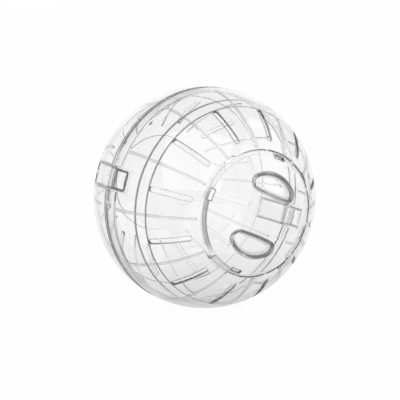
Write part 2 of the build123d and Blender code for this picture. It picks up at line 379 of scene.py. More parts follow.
class Rows:
    """Rows of a closed outline or of a strip: lengths along the ball, and a number for each other name."""

    MARKS = ("shade", "slot", "ledge", "lip", "key", "step")

    def __init__(self, *names: str) -> None:
        """Starts empty, with these names beside the length along the ball."""
        self.names = names
        self.blocks: list[dict[str, Array]] = []

    def add(self, along: ArrayLike, **shares: ArrayLike) -> None:
        """Appends rows.

        Args:
            along: Lengths along the ball, in millimetres.
            **shares: A number or one number for each row, by name; 0 where it isn't given.
        """
        along = np.atleast_1d(np.asarray(along, float))
        given = {name: np.asarray(shares.get(name, 0.0), float) for name in self.names}
        block = {name: np.broadcast_to(values, along.shape) for name, values in given.items()}
        self.blocks.append({"along": along, **block})

    def whole(self) -> dict[str, Array]:
        """All rows as one array for each name."""
        names = ("along", *self.names)
        return {name: np.concatenate([block[name] for block in self.blocks]) for name in names}

    def table(self, fade: float = 0.12) -> dict[str, Array]:
        """The whole rows of an outline, with a row added where an edge with painted shade meets a plain
        stretch.

        The added row lies on the straight line between its two neighbours and keeps the painted shade from
        spreading.

        Args:
            fade: Distance from the shaded row to the added one, in millimetres.

        Returns:
            The arrays by name.
        """
        whole = self.whole()
        shade, count = whole["shade"] + whole["step"], np.arange(whole["along"].size)
        gap = np.hypot(np.diff(whole["along"]), np.diff(whole["height"]))
        after = np.flatnonzero((shade[:-1] > 0) & (shade[1:] == 0) & (gap > 2 * fade))
        before = np.flatnonzero((shade[:-1] == 0) & (shade[1:] > 0) & (gap > 2 * fade))
        extra = np.concatenate([after + fade / gap[after], before + 1 - fade / gap[before]])
        place = np.sort(np.concatenate([count, extra]))
        spread = {name: np.interp(place, count, values) for name, values in whole.items()}
        added = np.isin(place, extra)
        for name in self.MARKS:
            spread[name] = np.where(added, 0, spread[name])
        return spread


@dataclass(frozen=True)
class PaintedEdgeShades:
    """Painted shade on each moulded edge of a half, from 0 for clear to 1, in place of the shade that
    refraction and reflection give it.
    """

    door: float = 0.05
    ledge: float = 0.15
    band: float = 0.95
    ridge: float = 0.4
    slot: float = 0.35
    slot_far: float = 0.02
    slot_end: float = 0.85
    rebate: float = 0.85
    rebate_far: float = 0.25
    seam: float = 0.95
    channel: float = 0.15
    channel_end: float = 0.15
    tray_end: float = 0.0
    rim: float = 0.985
    tongue: float = 0.0
    key: float = 0.0
    disc: float = 0.0


# Painted shade: how dark the lines painted along each half's moulded edges are.
FRONT_SHADES = PaintedEdgeShades()
REAR_SHADES = PaintedEdgeShades(band=0.4, ridge=0.2, slot=0.2, slot_far=0.1, slot_end=0.4, rebate=0.15, channel=0.4,
                         channel_end=0.05, tray_end=0.5, rim=0.9, tongue=0.4, key=0.85, disc=0.15)


@dataclass
class HalfShell:
    """One half of the ball: a moulded wall with slots, ridges, a band, and a channel for each clip.

    The wall is a closed outline carried round the door axis in twelve sectors. A slot lies on each line
    between two sectors and a ridge along the middle of each sector. On two of the lines, a clip channel lies
    across the seam.
    """

    ball: Ball
    half: Half
    nub_start: float = 2.6
    nub_length: float = 2.1
    nub_half: float = 3.0
    nub_height: float = 0.8
    rebate_width: float = 2.8
    rear_rebate_width: float = 1.3
    rebate_depth: float = 0.5
    lug_half_turn: float = 5.218
    notch_half_turn: float = 5.963
    notch_depth: float = 1.6
    notch_fade: float = 3.0
    ledge_clear: float = 0.75
    unlock: float = 54.0
    door_azimuth: float = 81.0
    ledge_root: float = 2.0
    ledge_reach: float = 2.8
    ledge_gap: float = 0.25
    ledge_wall: float = 1.4
    tongue_height: float = 8.22
    tongue_wall: float = 1.4
    tongue_gap: float = 0.25
    tongue_root: float = 3.4
    key_azimuth: float = 189.4
    key_width: float = 7.2
    key_height: float = 2.9
    key_gap: float = 0.3
    disc_angle: float = 151.31
    disc_step: float = 0.4
    rim_width: float = 1.75
    rear_rim_width: float = 0.85
    # Painted shade on the rims, the tongue, the band and the slots varies round the ball: these windows give
    # where it is darker or lighter.
    rim_clear: float = 14.0
    rim_fade: float = 6.0
    rim_faint: tuple[float, float, float] = (-65.0, 65.0, 30.0)
    slot_turn: tuple[float, float, float] = (100.0, 260.0, 40.0)
    tongue_shade_width: float = 5.0
    tongue_shade_turn: tuple[float, float, float] = (100.0, 258.0, 22.0)
    tongue_shade_break: tuple[float, float, float] = (152.0, 200.0, 10.0)
    band_far: float = 0.5
    slot_end_far: float = 0.4
    rim_latch: float = 0.6
    rim_shade_cut: float = 0.8
    notch_blend: float = 0.9
    ledge_blend: float = 0.7
    lock_gap: float = 0.373
    key_cut_blend: float = 0.6
    key_cut_fade: float = 6.0
    break_blend: float = 0.4
    soft_edge: float = 0.3
    ledge_round: float = 0.35
    tongue_round: float = 0.4
    key_seat: tuple[float, float] = (0.15, 0.1)
    step_round: tuple[float, float] = (0.25, 0.25)
    disc_round: tuple[float, float] = (0.2, 0.2)
    bed_round: tuple[float, float] = (0.2, 0.15)
    pad_round: tuple[float, float] = (0.5, 0.5)
    tray_round: tuple[float, float] = (0.12, 0.12)
    channel_round: tuple[float, float] = (0.4, 0.4)
    ridge_round: tuple[float, float] = (0.4, 0.4)
    nub_round: tuple[float, float] = (0.2, 0.2)
    nub_soft: float = 1.6
    row_gap: float = 0.9
    wide_gap: float = 1.0
    loose_gap: float = 1.2
    rebate_gap: float = 1.1
    channel_gap: tuple[float, float] = (2.0, 2.2)
    slot_gap: tuple[float, float] = (0.5, 0.6)
    slot_fringe: tuple[float, ...] = (0.42, 0.25, 0.13, 0.05)
    band_line: float = 0.6
    rebate_line: tuple[float, float] = (0.35, 0.45)
    rim_line: float = 0.12
    lip_line: float = 0.1
    tongue_line: float = 0.2
    narrow_sector: float = 7.0
    slot_columns: tuple[float, ...] = (0.0, 0.05, 0.15, 0.3, 0.6)
    channel_fade: tuple[tuple[float, float], tuple[float, float]] = ((30.0, 50.0), (1.0, 0.6))
    NAMES = ("height", "outside", "channel", "ridge", "nub", "slot", "ledge", "lip", "key", "step", "shade")

    @property
    def shades(self) -> PaintedEdgeShades:
        """Painted edge shades of this half."""
        return FRONT_SHADES if self.half is Half.FRONT else REAR_SHADES

    def slot_rows(self) -> Array:
        """Lengths along the ball that follow a slot's two round ends and its straight sides.

        Round an end, along = centre of the end - half width * cos a, with a from 0 to a right angle.

        Returns:
            The lengths in rising order, in millimetres.
        """
        ball = self.ball
        low = ball.along(ball.door_edge) + ball.slot_door_gap
        high = ball.along(ball.band_start) - ball.slot_band_gap
        a = np.linspace(0, QUARTER, 6)
        before = low - np.array(self.slot_fringe)
        end = low + ball.slot_half * (1 - np.cos(a))
        sides = np.linspace(low + ball.slot_half, high - ball.slot_half, 11)[1:-1]
        one = np.concatenate([before, end])
        rows = np.concatenate([one, sides, low + high - one[::-1]])
        return rows if self.half is Half.FRONT else ball.pole - rows[::-1]

    def front_rows(self) -> dict[str, Array]:
        """Outline of the front half, from the door edge outside to the seam and back inside.

        Returns:
            The outline's rows by name.
        """
        ball, look, inner, deep = self.ball, self.shades, -self.ball.wall, -self.rebate_depth
        rows, slots, ledge = Rows(*self.NAMES), self.slot_rows(), self.ledge_path()
        door, channel = ball.along(ball.door_edge), ball.along(ball.channel_front)
        seam = ball.seam - ball.seam_gap
        near, wide, loose, line = self.row_gap, self.wide_gap, self.loose_gap, self.band_line
        slot_out, slot_in = self.slot_gap
        grow, shrink = quarter_round(ball.mould_round)
        rows.add(door + grow, height=-shrink, outside=1, shade=look.door)
        rows.add(np.linspace(door + near, slots[0] - slot_out, 5), outside=1)
        rows.add(slots, outside=1, slot=1)
        rows.add(np.linspace(slots[-1] + slot_out, channel - near, 7), outside=1)
        off, drop = rounded_step(1.0, *self.bed_round)
        rows.add(channel - ball.bed_depth * off, outside=1, channel=drop)
        nub = channel + self.nub_start
        nub_end = nub + self.nub_length
        off, drop = rounded_step(1.0, *self.nub_round, count=3)
        rows.add(nub - self.nub_soft * off, outside=1, channel=1, nub=drop)
        rows.add(nub_end + self.nub_soft * off[::-1], outside=1, channel=1, nub=drop[::-1])
        rebate, rim = ball.seam - self.rebate_width, ball.seam - self.rim_width
        rows.add(np.linspace(nub_end + loose, rebate - self.rebate_gap, 4), outside=1, channel=1)
        off, drop = rounded_step(self.rebate_depth, *self.step_round)
        rows.add(rebate - self.rebate_line[0], outside=1, channel=1, step=1)
        rows.add(rebate - off, height=-drop, outside=1, channel=1, step=1)
        rows.add(rebate + self.rebate_line[1], height=deep, outside=1, channel=1, step=1)
        rows.add([rim - self.rim_line, rim, (rim + seam) / 2], height=deep, outside=1, channel=1)
        out, back = quarter_round(self.soft_edge)
        rows.add(seam - back, height=deep - out, outside=1, channel=1, shade=look.seam)
        rows.add(seam - out, height=inner + back, channel=1, shade=look.seam)
        ridge_end = ball.along(ball.ridge_end)
        rows.add(np.linspace(seam - wide, ridge_end + near, 4), height=inner, channel=1)
        ridge_off, ridge_drop = rounded_step(1.0, *self.ridge_round)
        ridge_off = ball.ridge_height * ridge_off
        rows.add(ridge_end + ridge_off, height=inner, channel=1, ridge=ridge_drop)
        pad = channel - ball.bed_margin
        rows.add(np.linspace(ridge_end - wide, pad + near, 3), height=inner, channel=1, ridge=1)
        off, drop = rounded_step(1.0, *self.pad_round)
        rows.add(pad - ball.bed_pad * off[::-1], height=inner, channel=drop[::-1], ridge=1)
        start = ball.along(ball.band_start)
        end, low = start + ball.band_width, inner - ball.band_step
        off, drop = rounded_step(ball.band_step, *self.step_round)
        rows.add(np.linspace(pad - loose, end + loose, 3), height=inner, ridge=1)
        rows.add(end + line, height=inner, ridge=1, shade=look.band)
        rows.add(end + off, height=inner - drop, ridge=1, shade=look.band)
        rows.add(end - line, height=low, ridge=1, shade=look.band)
        rows.add(np.linspace(end - loose, start + loose, 3), height=low, ridge=1)
        rows.add(start + line, height=low, ridge=1, shade=look.band)
        rows.add(start - off[::-1], height=inner - drop[::-1], ridge=1, shade=look.band)
        rows.add(start - line, height=inner, ridge=1, shade=look.band)
        rows.add(slots[::-1], height=inner, ridge=1, slot=1)
        ridge_start = door + ball.ridge_door_gap
        rows.add(np.linspace(slots[0] - slot_in, ridge_start + near, 2), height=inner, ridge=1)
        rows.add(ridge_start - ridge_off[::-1], height=inner, ridge=ridge_drop[::-1])
        lip = door + ball.mould_round + self.lip_line
        rows.add(np.linspace(door + self.ledge_root, lip, len(ledge)), height=inner, ledge=1)
        rows.add(door + shrink, height=inner + grow, lip=1, shade=look.door)
        return rows.table()

    def ledge_path(self) -> Array:
        """Outline of the ledge under the door's edge, with round corners.

        Returns:
            Lengths along the ball and heights, one pair in each row.
        """
        ball = self.ball
        door = ball.along(ball.door_edge)
        high = -ball.wall - self.ledge_gap
        low = high - self.ledge_wall
        root, tip = door + self.ledge_root, door - self.ledge_reach
        grow, shrink = quarter_round(self.ledge_round, 3)
        foot = np.stack([np.full(grow.size, root), np.linspace(-ball.wall, low, grow.size)], axis=1)
        under = np.stack([tip + shrink, low + grow], axis=1)
        over = np.stack([tip + grow, high - shrink], axis=1)
        return np.concatenate([foot, [[door, low]], under, over, [[door - self.row_gap, high], [door, high]]])

    def rear_rows(self) -> dict[str, Array]:
        """Outline of the rear half, from the seam outside to the pole and back inside to the tongue.

        Returns:
            The outline's rows by name.
        """
        ball, look, inner, deep = self.ball, self.shades, -self.ball.wall, -self.rebate_depth
        rows, slots = Rows(*self.NAMES), self.slot_rows()
        seam, channel = ball.seam, ball.along(ball.channel_rear)
        near, wide, (slot_out, slot_in) = self.row_gap, self.wide_gap, self.slot_gap
        grow, shrink = quarter_round(self.soft_edge)
        rows.add(seam + grow, height=deep - shrink, outside=1, channel=1, step=1)
        rim = [seam + self.rebate_line[1], seam + self.rear_rim_width]
        rows.add(rim, height=deep, outside=1, channel=1, step=1)
        rebate = seam + self.rear_rebate_width
        off, drop = rounded_step(self.rebate_depth, *self.step_round)
        rows.add(rebate + off[::-1], height=-drop[::-1], outside=1, channel=1, shade=look.rebate)
        rows.add(np.linspace(rebate + wide, channel - self.channel_gap[0], 7), outside=1, channel=1)
        off, drop = rounded_step(1.0, *self.channel_round)
        rows.add(channel + ball.channel_depth * off[::-1], outside=1, channel=drop[::-1])
        rows.add(np.linspace(channel + self.channel_gap[1], slots[0] - slot_out, 4), outside=1)
        rows.add(slots, outside=1, slot=1)
        rows.add(np.linspace(slots[-1] + slot_out, ball.pole, 13), outside=1)
        disc = ball.along(self.disc_angle)
        rows.add(np.linspace(ball.pole, disc + wide, 7), height=inner - self.disc_step)
        off, drop = rounded_step(self.disc_step, *self.disc_round)
        rows.add(disc - off[::-1], height=inner - drop[::-1], shade=look.disc)
        ridge_start = ball.pole - ball.along(ball.door_edge) - ball.ridge_door_gap
        rows.add(np.linspace(disc - wide, ridge_start + near, 3), height=inner)
        ridge_off, ridge_drop = rounded_step(1.0, *self.ridge_round)
        ridge_off = ball.ridge_height * ridge_off
        rows.add(ridge_start + ridge_off, height=inner, ridge=ridge_drop)
        rows.add(np.linspace(ridge_start - wide, slots[-1] + slot_in, 2), height=inner, ridge=1)
        rows.add(slots[::-1], height=inner, ridge=1, slot=1)
        start = ball.pole - ball.along(ball.band_start)
        end, low = start - ball.band_width, inner - ball.band_step
        off, drop = rounded_step(ball.band_step, *self.step_round)
        rows.add(start + off, height=inner - drop, ridge=1, shade=look.band)
        tray = channel + ball.channel_wall
        rows.add(np.linspace(start - wide, tray + near, 3), height=low, ridge=1)
        tray_off, tray_drop = rounded_step(1.0, *self.tray_round)
        rows.add(tray + ball.tray_depth * tray_off, height=low, ridge=1, channel=tray_drop)
        rows.add(end - off[::-1], height=inner - drop[::-1], ridge=1, channel=1, shade=look.band)
        ridge_end = ball.pole - ball.along(ball.ridge_end)
        rows.add(np.linspace(end - wide, ridge_end + wide, 6), height=inner, ridge=1, channel=1)
        rows.add(ridge_end - ridge_off[::-1], height=inner, ridge=ridge_drop[::-1], channel=1)
        root, tip = seam + self.tongue_root, seam - self.tongue_height
        high = inner - self.tongue_gap
        low = high - self.tongue_wall
        rows.add(np.linspace(ridge_end - wide, root + near, 3), height=inner, channel=1)
        off, drop = rounded_step(inner - low, self.tongue_round, self.tongue_round)
        rows.add(root + off, height=inner - drop, channel=1)
        rows.add(np.linspace(root - wide, tip + wide, 5), height=low, channel=1)
        grow, shrink = quarter_round(self.tongue_round)
        rows.add(tip + shrink, height=low + grow, channel=1)
        rows.add(tip + grow, height=high - shrink, channel=1)
        rows.add(np.linspace(tip + wide, seam - self.tongue_line, 5), height=high, channel=1)
        top, (foot, face) = deep - self.soft_edge, self.key_seat
        rows.add([seam] * 4, height=[high, (high + top) / 2, top - foot, top - face], channel=1, key=1)
        return rows.table()

    def front_moves(self, rows: dict[str, Array], azimuth: Array) -> tuple[Array, Array, Array]:
        """Shifts that the notches and ledges at the door and the key's cut give to the front outline.

        Args:
            rows: The outline's rows.
            azimuth: Azimuths of the grid, in degrees.

        Returns:
            Shifts along the ball and in height, in millimetres, and painted edge shades, in the grid's shape.
        """
        ball, look = self.ball, self.shades
        along, height = rows["along"][:, None], rows["height"][:, None]
        shift, lift, shade = np.zeros((3, *azimuth.shape))
        door, seam = ball.along(ball.door_edge), ball.seam - ball.seam_gap
        near = np.clip(1 - (along - door) / self.notch_fade, 0, 1)
        path, shelf, lip = self.ledge_path(), rows["ledge"] > 0, rows["lip"] > 0
        for lug in self.door_azimuth + np.arange(0, 360, 90):
            notch = lug + self.unlock
            reach = self.notch_half_turn
            share = window(azimuth, notch - reach, notch + reach, self.notch_blend)
            shift += share * self.notch_depth * near
            lock = lug - self.lug_half_turn - self.lock_gap
            entry = notch - 90 + reach + self.ledge_clear
            share = window(azimuth, entry, lock, self.ledge_blend)
            shift[shelf] += share[shelf] * (path[:, :1] - along[shelf])
            lift[shelf] += share[shelf] * (path[:, 1:] - height[shelf])
            lift[lip] += share[lip] * (-ball.wall - self.ledge_gap - height[lip])
            shift[lip] += share[lip] * (door - along[lip])
            # Painted shade on the ledges under the door's edge.
            shade[shelf] += share[shelf] * look.ledge
        # Painted shade on the rim strip by the seam and on the rebate's step: the step darker near the clips,
        # the strip lighter near the clips and over one stretch of the rim.
        strip = (along > ball.seam - self.rim_width - TOUCH) & (rows["outside"][:, None] > 0)
        latch, faint = self.rim_weights(azimuth)
        step = rows["step"][:, None] * (look.rebate_far + (look.rebate - look.rebate_far) * latch)
        shade = np.maximum(shade, np.maximum(strip * look.rim * (1 - np.maximum(latch, faint)), step))
        share = self.key_share(azimuth, self.key_gap, self.key_cut_blend)
        fade = np.clip((along - seam + self.key_cut_fade) / self.key_cut_fade, 0, 1)
        return shift - share * (self.key_height + self.key_gap) * fade, lift, shade

    def rear_moves(self, rows: dict[str, Array], azimuth: Array) -> tuple[Array, Array, Array]:
        """Shifts that end the tongue before each clip channel, and that raise the key on the rim.

        Args:
            rows: The outline's rows.
            azimuth: Azimuths of the grid, in degrees.

        Returns:
            Shifts along the ball and in height, in millimetres, and painted edge shades, in the grid's shape.
        """
        ball, look = self.ball, self.shades
        along, height = rows["along"][:, None], rows["height"][:, None]
        shift, lift, shade = np.zeros((3, *azimuth.shape))
        reach = ball.channel_half + ball.channel_side + self.tongue_gap
        turn = math.degrees(math.asin(reach / ball.radius))
        for side in Side:
            share = window(azimuth, side.value - turn, side.value + turn, self.break_blend)
            shift += share * np.maximum(ball.seam - along, 0)
        share = self.key_share(azimuth, 0.0, self.break_blend)
        stop = ball.seam - self.key_height
        tongue = (along < ball.seam) & (height >= -ball.wall - self.tongue_gap)
        shift += share * np.where(tongue, np.minimum(stop - along, 0), 0)
        key, tall = rows["key"] > 0, self.key_height
        forward = np.array([[-tall], [-tall], [self.soft_edge - tall], [0.0]])
        shift[key] += share[key] * forward
        top = np.array([[0.0], [0.0], [1.0], [1.0]]) * (-self.rebate_depth / 2 - height[key])
        lift[key] += share[key] * top
        # Painted shade on the key.
        shade[key] += share[key] * look.key
        # Painted shade over the tongue's overlap, darkest at its tip, on one side of the ball only with a
        # break by the left clip; then painted shade on the rim by the seam, lighter near the clips and over
        # one stretch of the rim.
        haze = window(azimuth, *self.tongue_shade_turn) * (1 - window(azimuth, *self.tongue_shade_break))
        fade = np.clip(1 - (along - ball.seam + self.tongue_height) / self.tongue_shade_width, 0, 1)
        shade = np.maximum(shade, look.tongue * haze * fade * (along < ball.seam))
        latch, faint = self.rim_weights(azimuth)
        rim = look.rim * (1 - np.maximum(self.rim_latch * latch, self.rim_shade_cut * faint))
        return shift, lift, np.maximum(shade, rows["step"][:, None] * rim)

    def key_share(self, azimuth: Array, gap: float, blend: float) -> Array:
        """Share of the key's width, with a gap in millimetres on either side and a blend in degrees."""
        turn = math.degrees((self.key_width / 2 + gap) / self.ball.radius)
        return window(azimuth, self.key_azimuth - turn, self.key_azimuth + turn, blend)

    def rim_weights(self, azimuth: Array) -> tuple[Array, Array]:
        """Shares that lie near a clip, and in the stretch where the rims' painted shade is kept light.

        Args:
            azimuth: Azimuths in degrees.

        Returns:
            The two shares, from 0 to 1.
        """
        reach, fade = self.rim_clear, self.rim_fade
        latch = sum(window(azimuth, side.value - reach, side.value + reach, fade) for side in Side)
        return latch, window(azimuth, *self.rim_faint)

    def columns(self, rows: dict[str, Array], latch: bool) -> dict[str, Array]:
        """Columns of half a sector, from a slot's edge or a clip channel's middle to a ridge's middle.

        Args:
            rows: The outline's rows.
            latch: Whether a clip channel lies on the sector's edge.

        Returns:
            Distance from the sector's edge for each row and column ("x"), half the sector's width for each
            row ("half"), and each column's share of the channel, the nub and the ridge.
        """
        ball = self.ball
        along, outside = rows["along"], rows["outside"] > 0
        along = along if self.half is Half.FRONT else np.maximum(along, ball.seam)
        half = ball.radius * np.sin(along / ball.radius) * math.pi / ball.sectors
        fit = np.clip(half / self.narrow_sector, 0, 1)[:, None]
        y = np.abs(along - self.slot_middle()) - self.slot_straight()
        edge = np.sqrt(np.maximum(ball.slot_half**2 - np.maximum(y, 0)**2, 0))
        edge = np.where(rows["slot"] > 0, edge, 0)[:, None]
        parts = [edge + fit * np.array([self.slot_columns])]
        channel, nub = [np.ones(len(self.slot_columns))], [np.ones(len(self.slot_columns))]
        if latch:
            near_seam = np.interp(np.abs(along - ball.seam), *self.channel_fade)[:, None]
            off, drop = rounded_step(1.0, *self.nub_round, count=3)
            parts.append(fit * near_seam * (self.nub_half + self.nub_soft * off[::-1]))
            channel.append(np.ones(drop.size))
            nub.append(drop[::-1])
            off, drop = rounded_step(1.0, *self.bed_round)
            deep, pad, margin = self.bed()
            out = ball.channel_half + deep * off[::-1]
            under = ball.channel_half + margin + pad * off[::-1]
            parts.append(fit * near_seam * np.where(outside[:, None], out, under))
            channel.append(drop[::-1])
            nub.append(np.zeros(drop.size))
        off, drop = rounded_step(1.0, *self.ridge_round)
        ridge = half[:, None] - fit * (ball.ridge_half + ball.ridge_height * off)
        last, spread = parts[-1][:, -1:], np.linspace(0, 1, 6)[1:-1]
        parts += [last + (ridge[:, :1] - last) * spread, ridge, half[:, None]]
        x = np.concatenate(parts, axis=1)
        rise = np.concatenate([np.zeros(x.shape[1] - drop.size - 1), drop, [1.0]])
        blank = np.zeros(x.shape[1] - sum(map(len, channel)))
        return {
            "x": x, "half": half, "ridge": rise,
            "channel": np.concatenate([*channel, blank]) * latch,
            "nub": np.concatenate([*nub, blank]) * latch,
        }

    def bed(self) -> tuple[float, float, float]:
        """Sizes of this half's clip channels, in millimetres.

        Returns:
            Depth of a channel, depth of the pad or tray below the wall, and how far that reaches sideways.
        """
        ball = self.ball
        if self.half is Half.FRONT:
            return ball.bed_depth, ball.bed_pad, ball.bed_margin
        return ball.channel_depth, ball.tray_depth, ball.channel_side

    def slot_middle(self) -> float:
        """Length along the ball to the middle of a slot."""
        rows = self.slot_rows()
        return (rows[0] + rows[-1]) / 2

    def slot_straight(self) -> float:
        """Half the length of a slot's straight sides."""
        rows = self.slot_rows()
        return (rows[-1] - rows[0]) / 2 - self.slot_fringe[0] - self.ball.slot_half

    def heights(self, rows: dict[str, Array], columns: dict[str, Array], base: Array,
                azimuth: Array) -> tuple[Array, Array]:
        """Heights of the wall's faces with channels, nubs, ridges and round slot edges, and their painted
        shades.

        A channel or a ridge is as deep as the smaller of its row's and its column's share, and where features
        meet, the deeper one inside and the higher one outside is kept. Their flanks get painted shade.

        Args:
            rows: The outline's rows.
            columns: The half sector's columns.
            base: Heights before the features.
            azimuth: Azimuths of the grid, in degrees.

        Returns:
            Heights in millimetres and painted shades, in the grid's shape.
        """
        ball, look = self.ball, self.shades
        outside = rows["outside"][:, None] > 0
        deep, pad, _ = self.bed()
        channel = np.minimum(rows["channel"][:, None], columns["channel"][None, :])
        sunk = np.where(outside, -deep * channel, -ball.wall - pad * channel)
        height = np.where(channel > 0, np.minimum(base, sunk), base)
        nub = np.minimum(rows["nub"][:, None], columns["nub"][None, :])
        height = np.where(nub > 0, np.maximum(height, -deep + self.nub_height * nub), height)
        ridge = np.minimum(rows["ridge"][:, None], columns["ridge"][None, :])
        height = np.where(ridge > 0, np.minimum(height, -ball.wall - ball.ridge_height * ridge), height)
        y = np.maximum(np.abs(rows["along"] - self.slot_middle()) - self.slot_straight(), 0)[:, None]
        gap = np.hypot(columns["x"], y) - ball.slot_half
        rounded = edge_round(gap, ball.mould_round) * rows["slot"][:, None]
        # Painted shade on the band's lines, ridges, channel flanks, the tray's front wall and slot edges; the
        # band's and slots' painted shade is darker on one side of the ball.
        turned = window(azimuth, *self.slot_turn)
        middle = ball.seam - ball.along(ball.band_start) - ball.band_width / 2
        off_band = np.abs(np.abs(rows["along"] - ball.seam) - middle) - ball.band_width / 2
        band = (off_band < self.wide_gap)[:, None] * (1 - self.band_far) * (1 - turned)
        shade = np.maximum(rows["shade"][:, None] * (1 - channel) * (1 - band), (ridge > TOUCH) * look.ridge)
        sides = flank(columns["channel"])[None, :] * (rows["channel"][:, None] > 0.5) * look.channel
        ends = flank(rows["channel"])[:, None] * (columns["channel"][None, :] > 0.5) * look.channel_end
        shade = np.maximum(shade, outside * np.maximum(sides, ends))
        front_wall = (rows["along"] <= ball.seam + TOUCH)[:, None] & ~outside
        shade = np.maximum(shade, front_wall * channel * look.tray_end)
        off_slot = (rows["along"] - self.slot_middle()) * (1 if self.half is Half.FRONT else -1)
        end = np.clip((off_slot - self.slot_straight()) / ball.slot_half, 0, 1)[:, None]
        plain = look.slot_far + (look.slot - look.slot_far) * turned
        tip = look.slot_end * (self.slot_end_far + (1 - self.slot_end_far) * turned)
        slot = (gap < ball.mould_round) * rows["slot"][:, None] * (plain + (tip - plain) * end)
        shade = np.maximum(shade, slot)
        return height - np.where(outside, rounded, -rounded), shade

    def build(self, name: str) -> bpy.types.Object:
        """Makes the half's wall.

        Args:
            name: Name of the new object.

        Returns:
            The new object.
        """
        ball, front = self.ball, self.half is Half.FRONT
        rows, moves = (self.front_rows(), self.front_moves) if front else (self.rear_rows(), self.rear_moves)
        step, latched = 360 / ball.sectors, {side.value for side in Side}
        surface = Surface()
        outer = np.flatnonzero((rows["slot"] > 0) & (rows["outside"] > 0))
        inner = np.flatnonzero((rows["slot"] > 0) & (rows["outside"] == 0))[::-1]
        hole = slice(len(self.slot_fringe), len(outer) - len(self.slot_fringe))
        for sector in range(ball.sectors):
            for mirrored in (False, True):
                line = (sector + mirrored) * step
                columns = self.columns(rows, line % 360 in latched)
                half = columns["half"][:, None]
                even = np.broadcast_to(np.linspace(0, 1, columns["x"].shape[1]), columns["x"].shape).copy()
                share = np.divide(columns["x"], half, where=half > SMALL, out=even)
                azimuth = line + (-1 if mirrored else 1) * share * step / 2
                shift, lift, local = moves(rows, azimuth)
                height, shade = self.heights(rows, columns, rows["height"][:, None] + lift, azimuth)
                points = ball.place(rows["along"][:, None] + shift, height, np.radians(azimuth))
                quads = grid_quads(*points.shape[:2], closed_rows=True)
                number = surface.add(points, quads, np.maximum(shade, local))
                surface.join(number[outer[hole], 0], number[inner[hole], 0])
        return surface.build(name, ball)


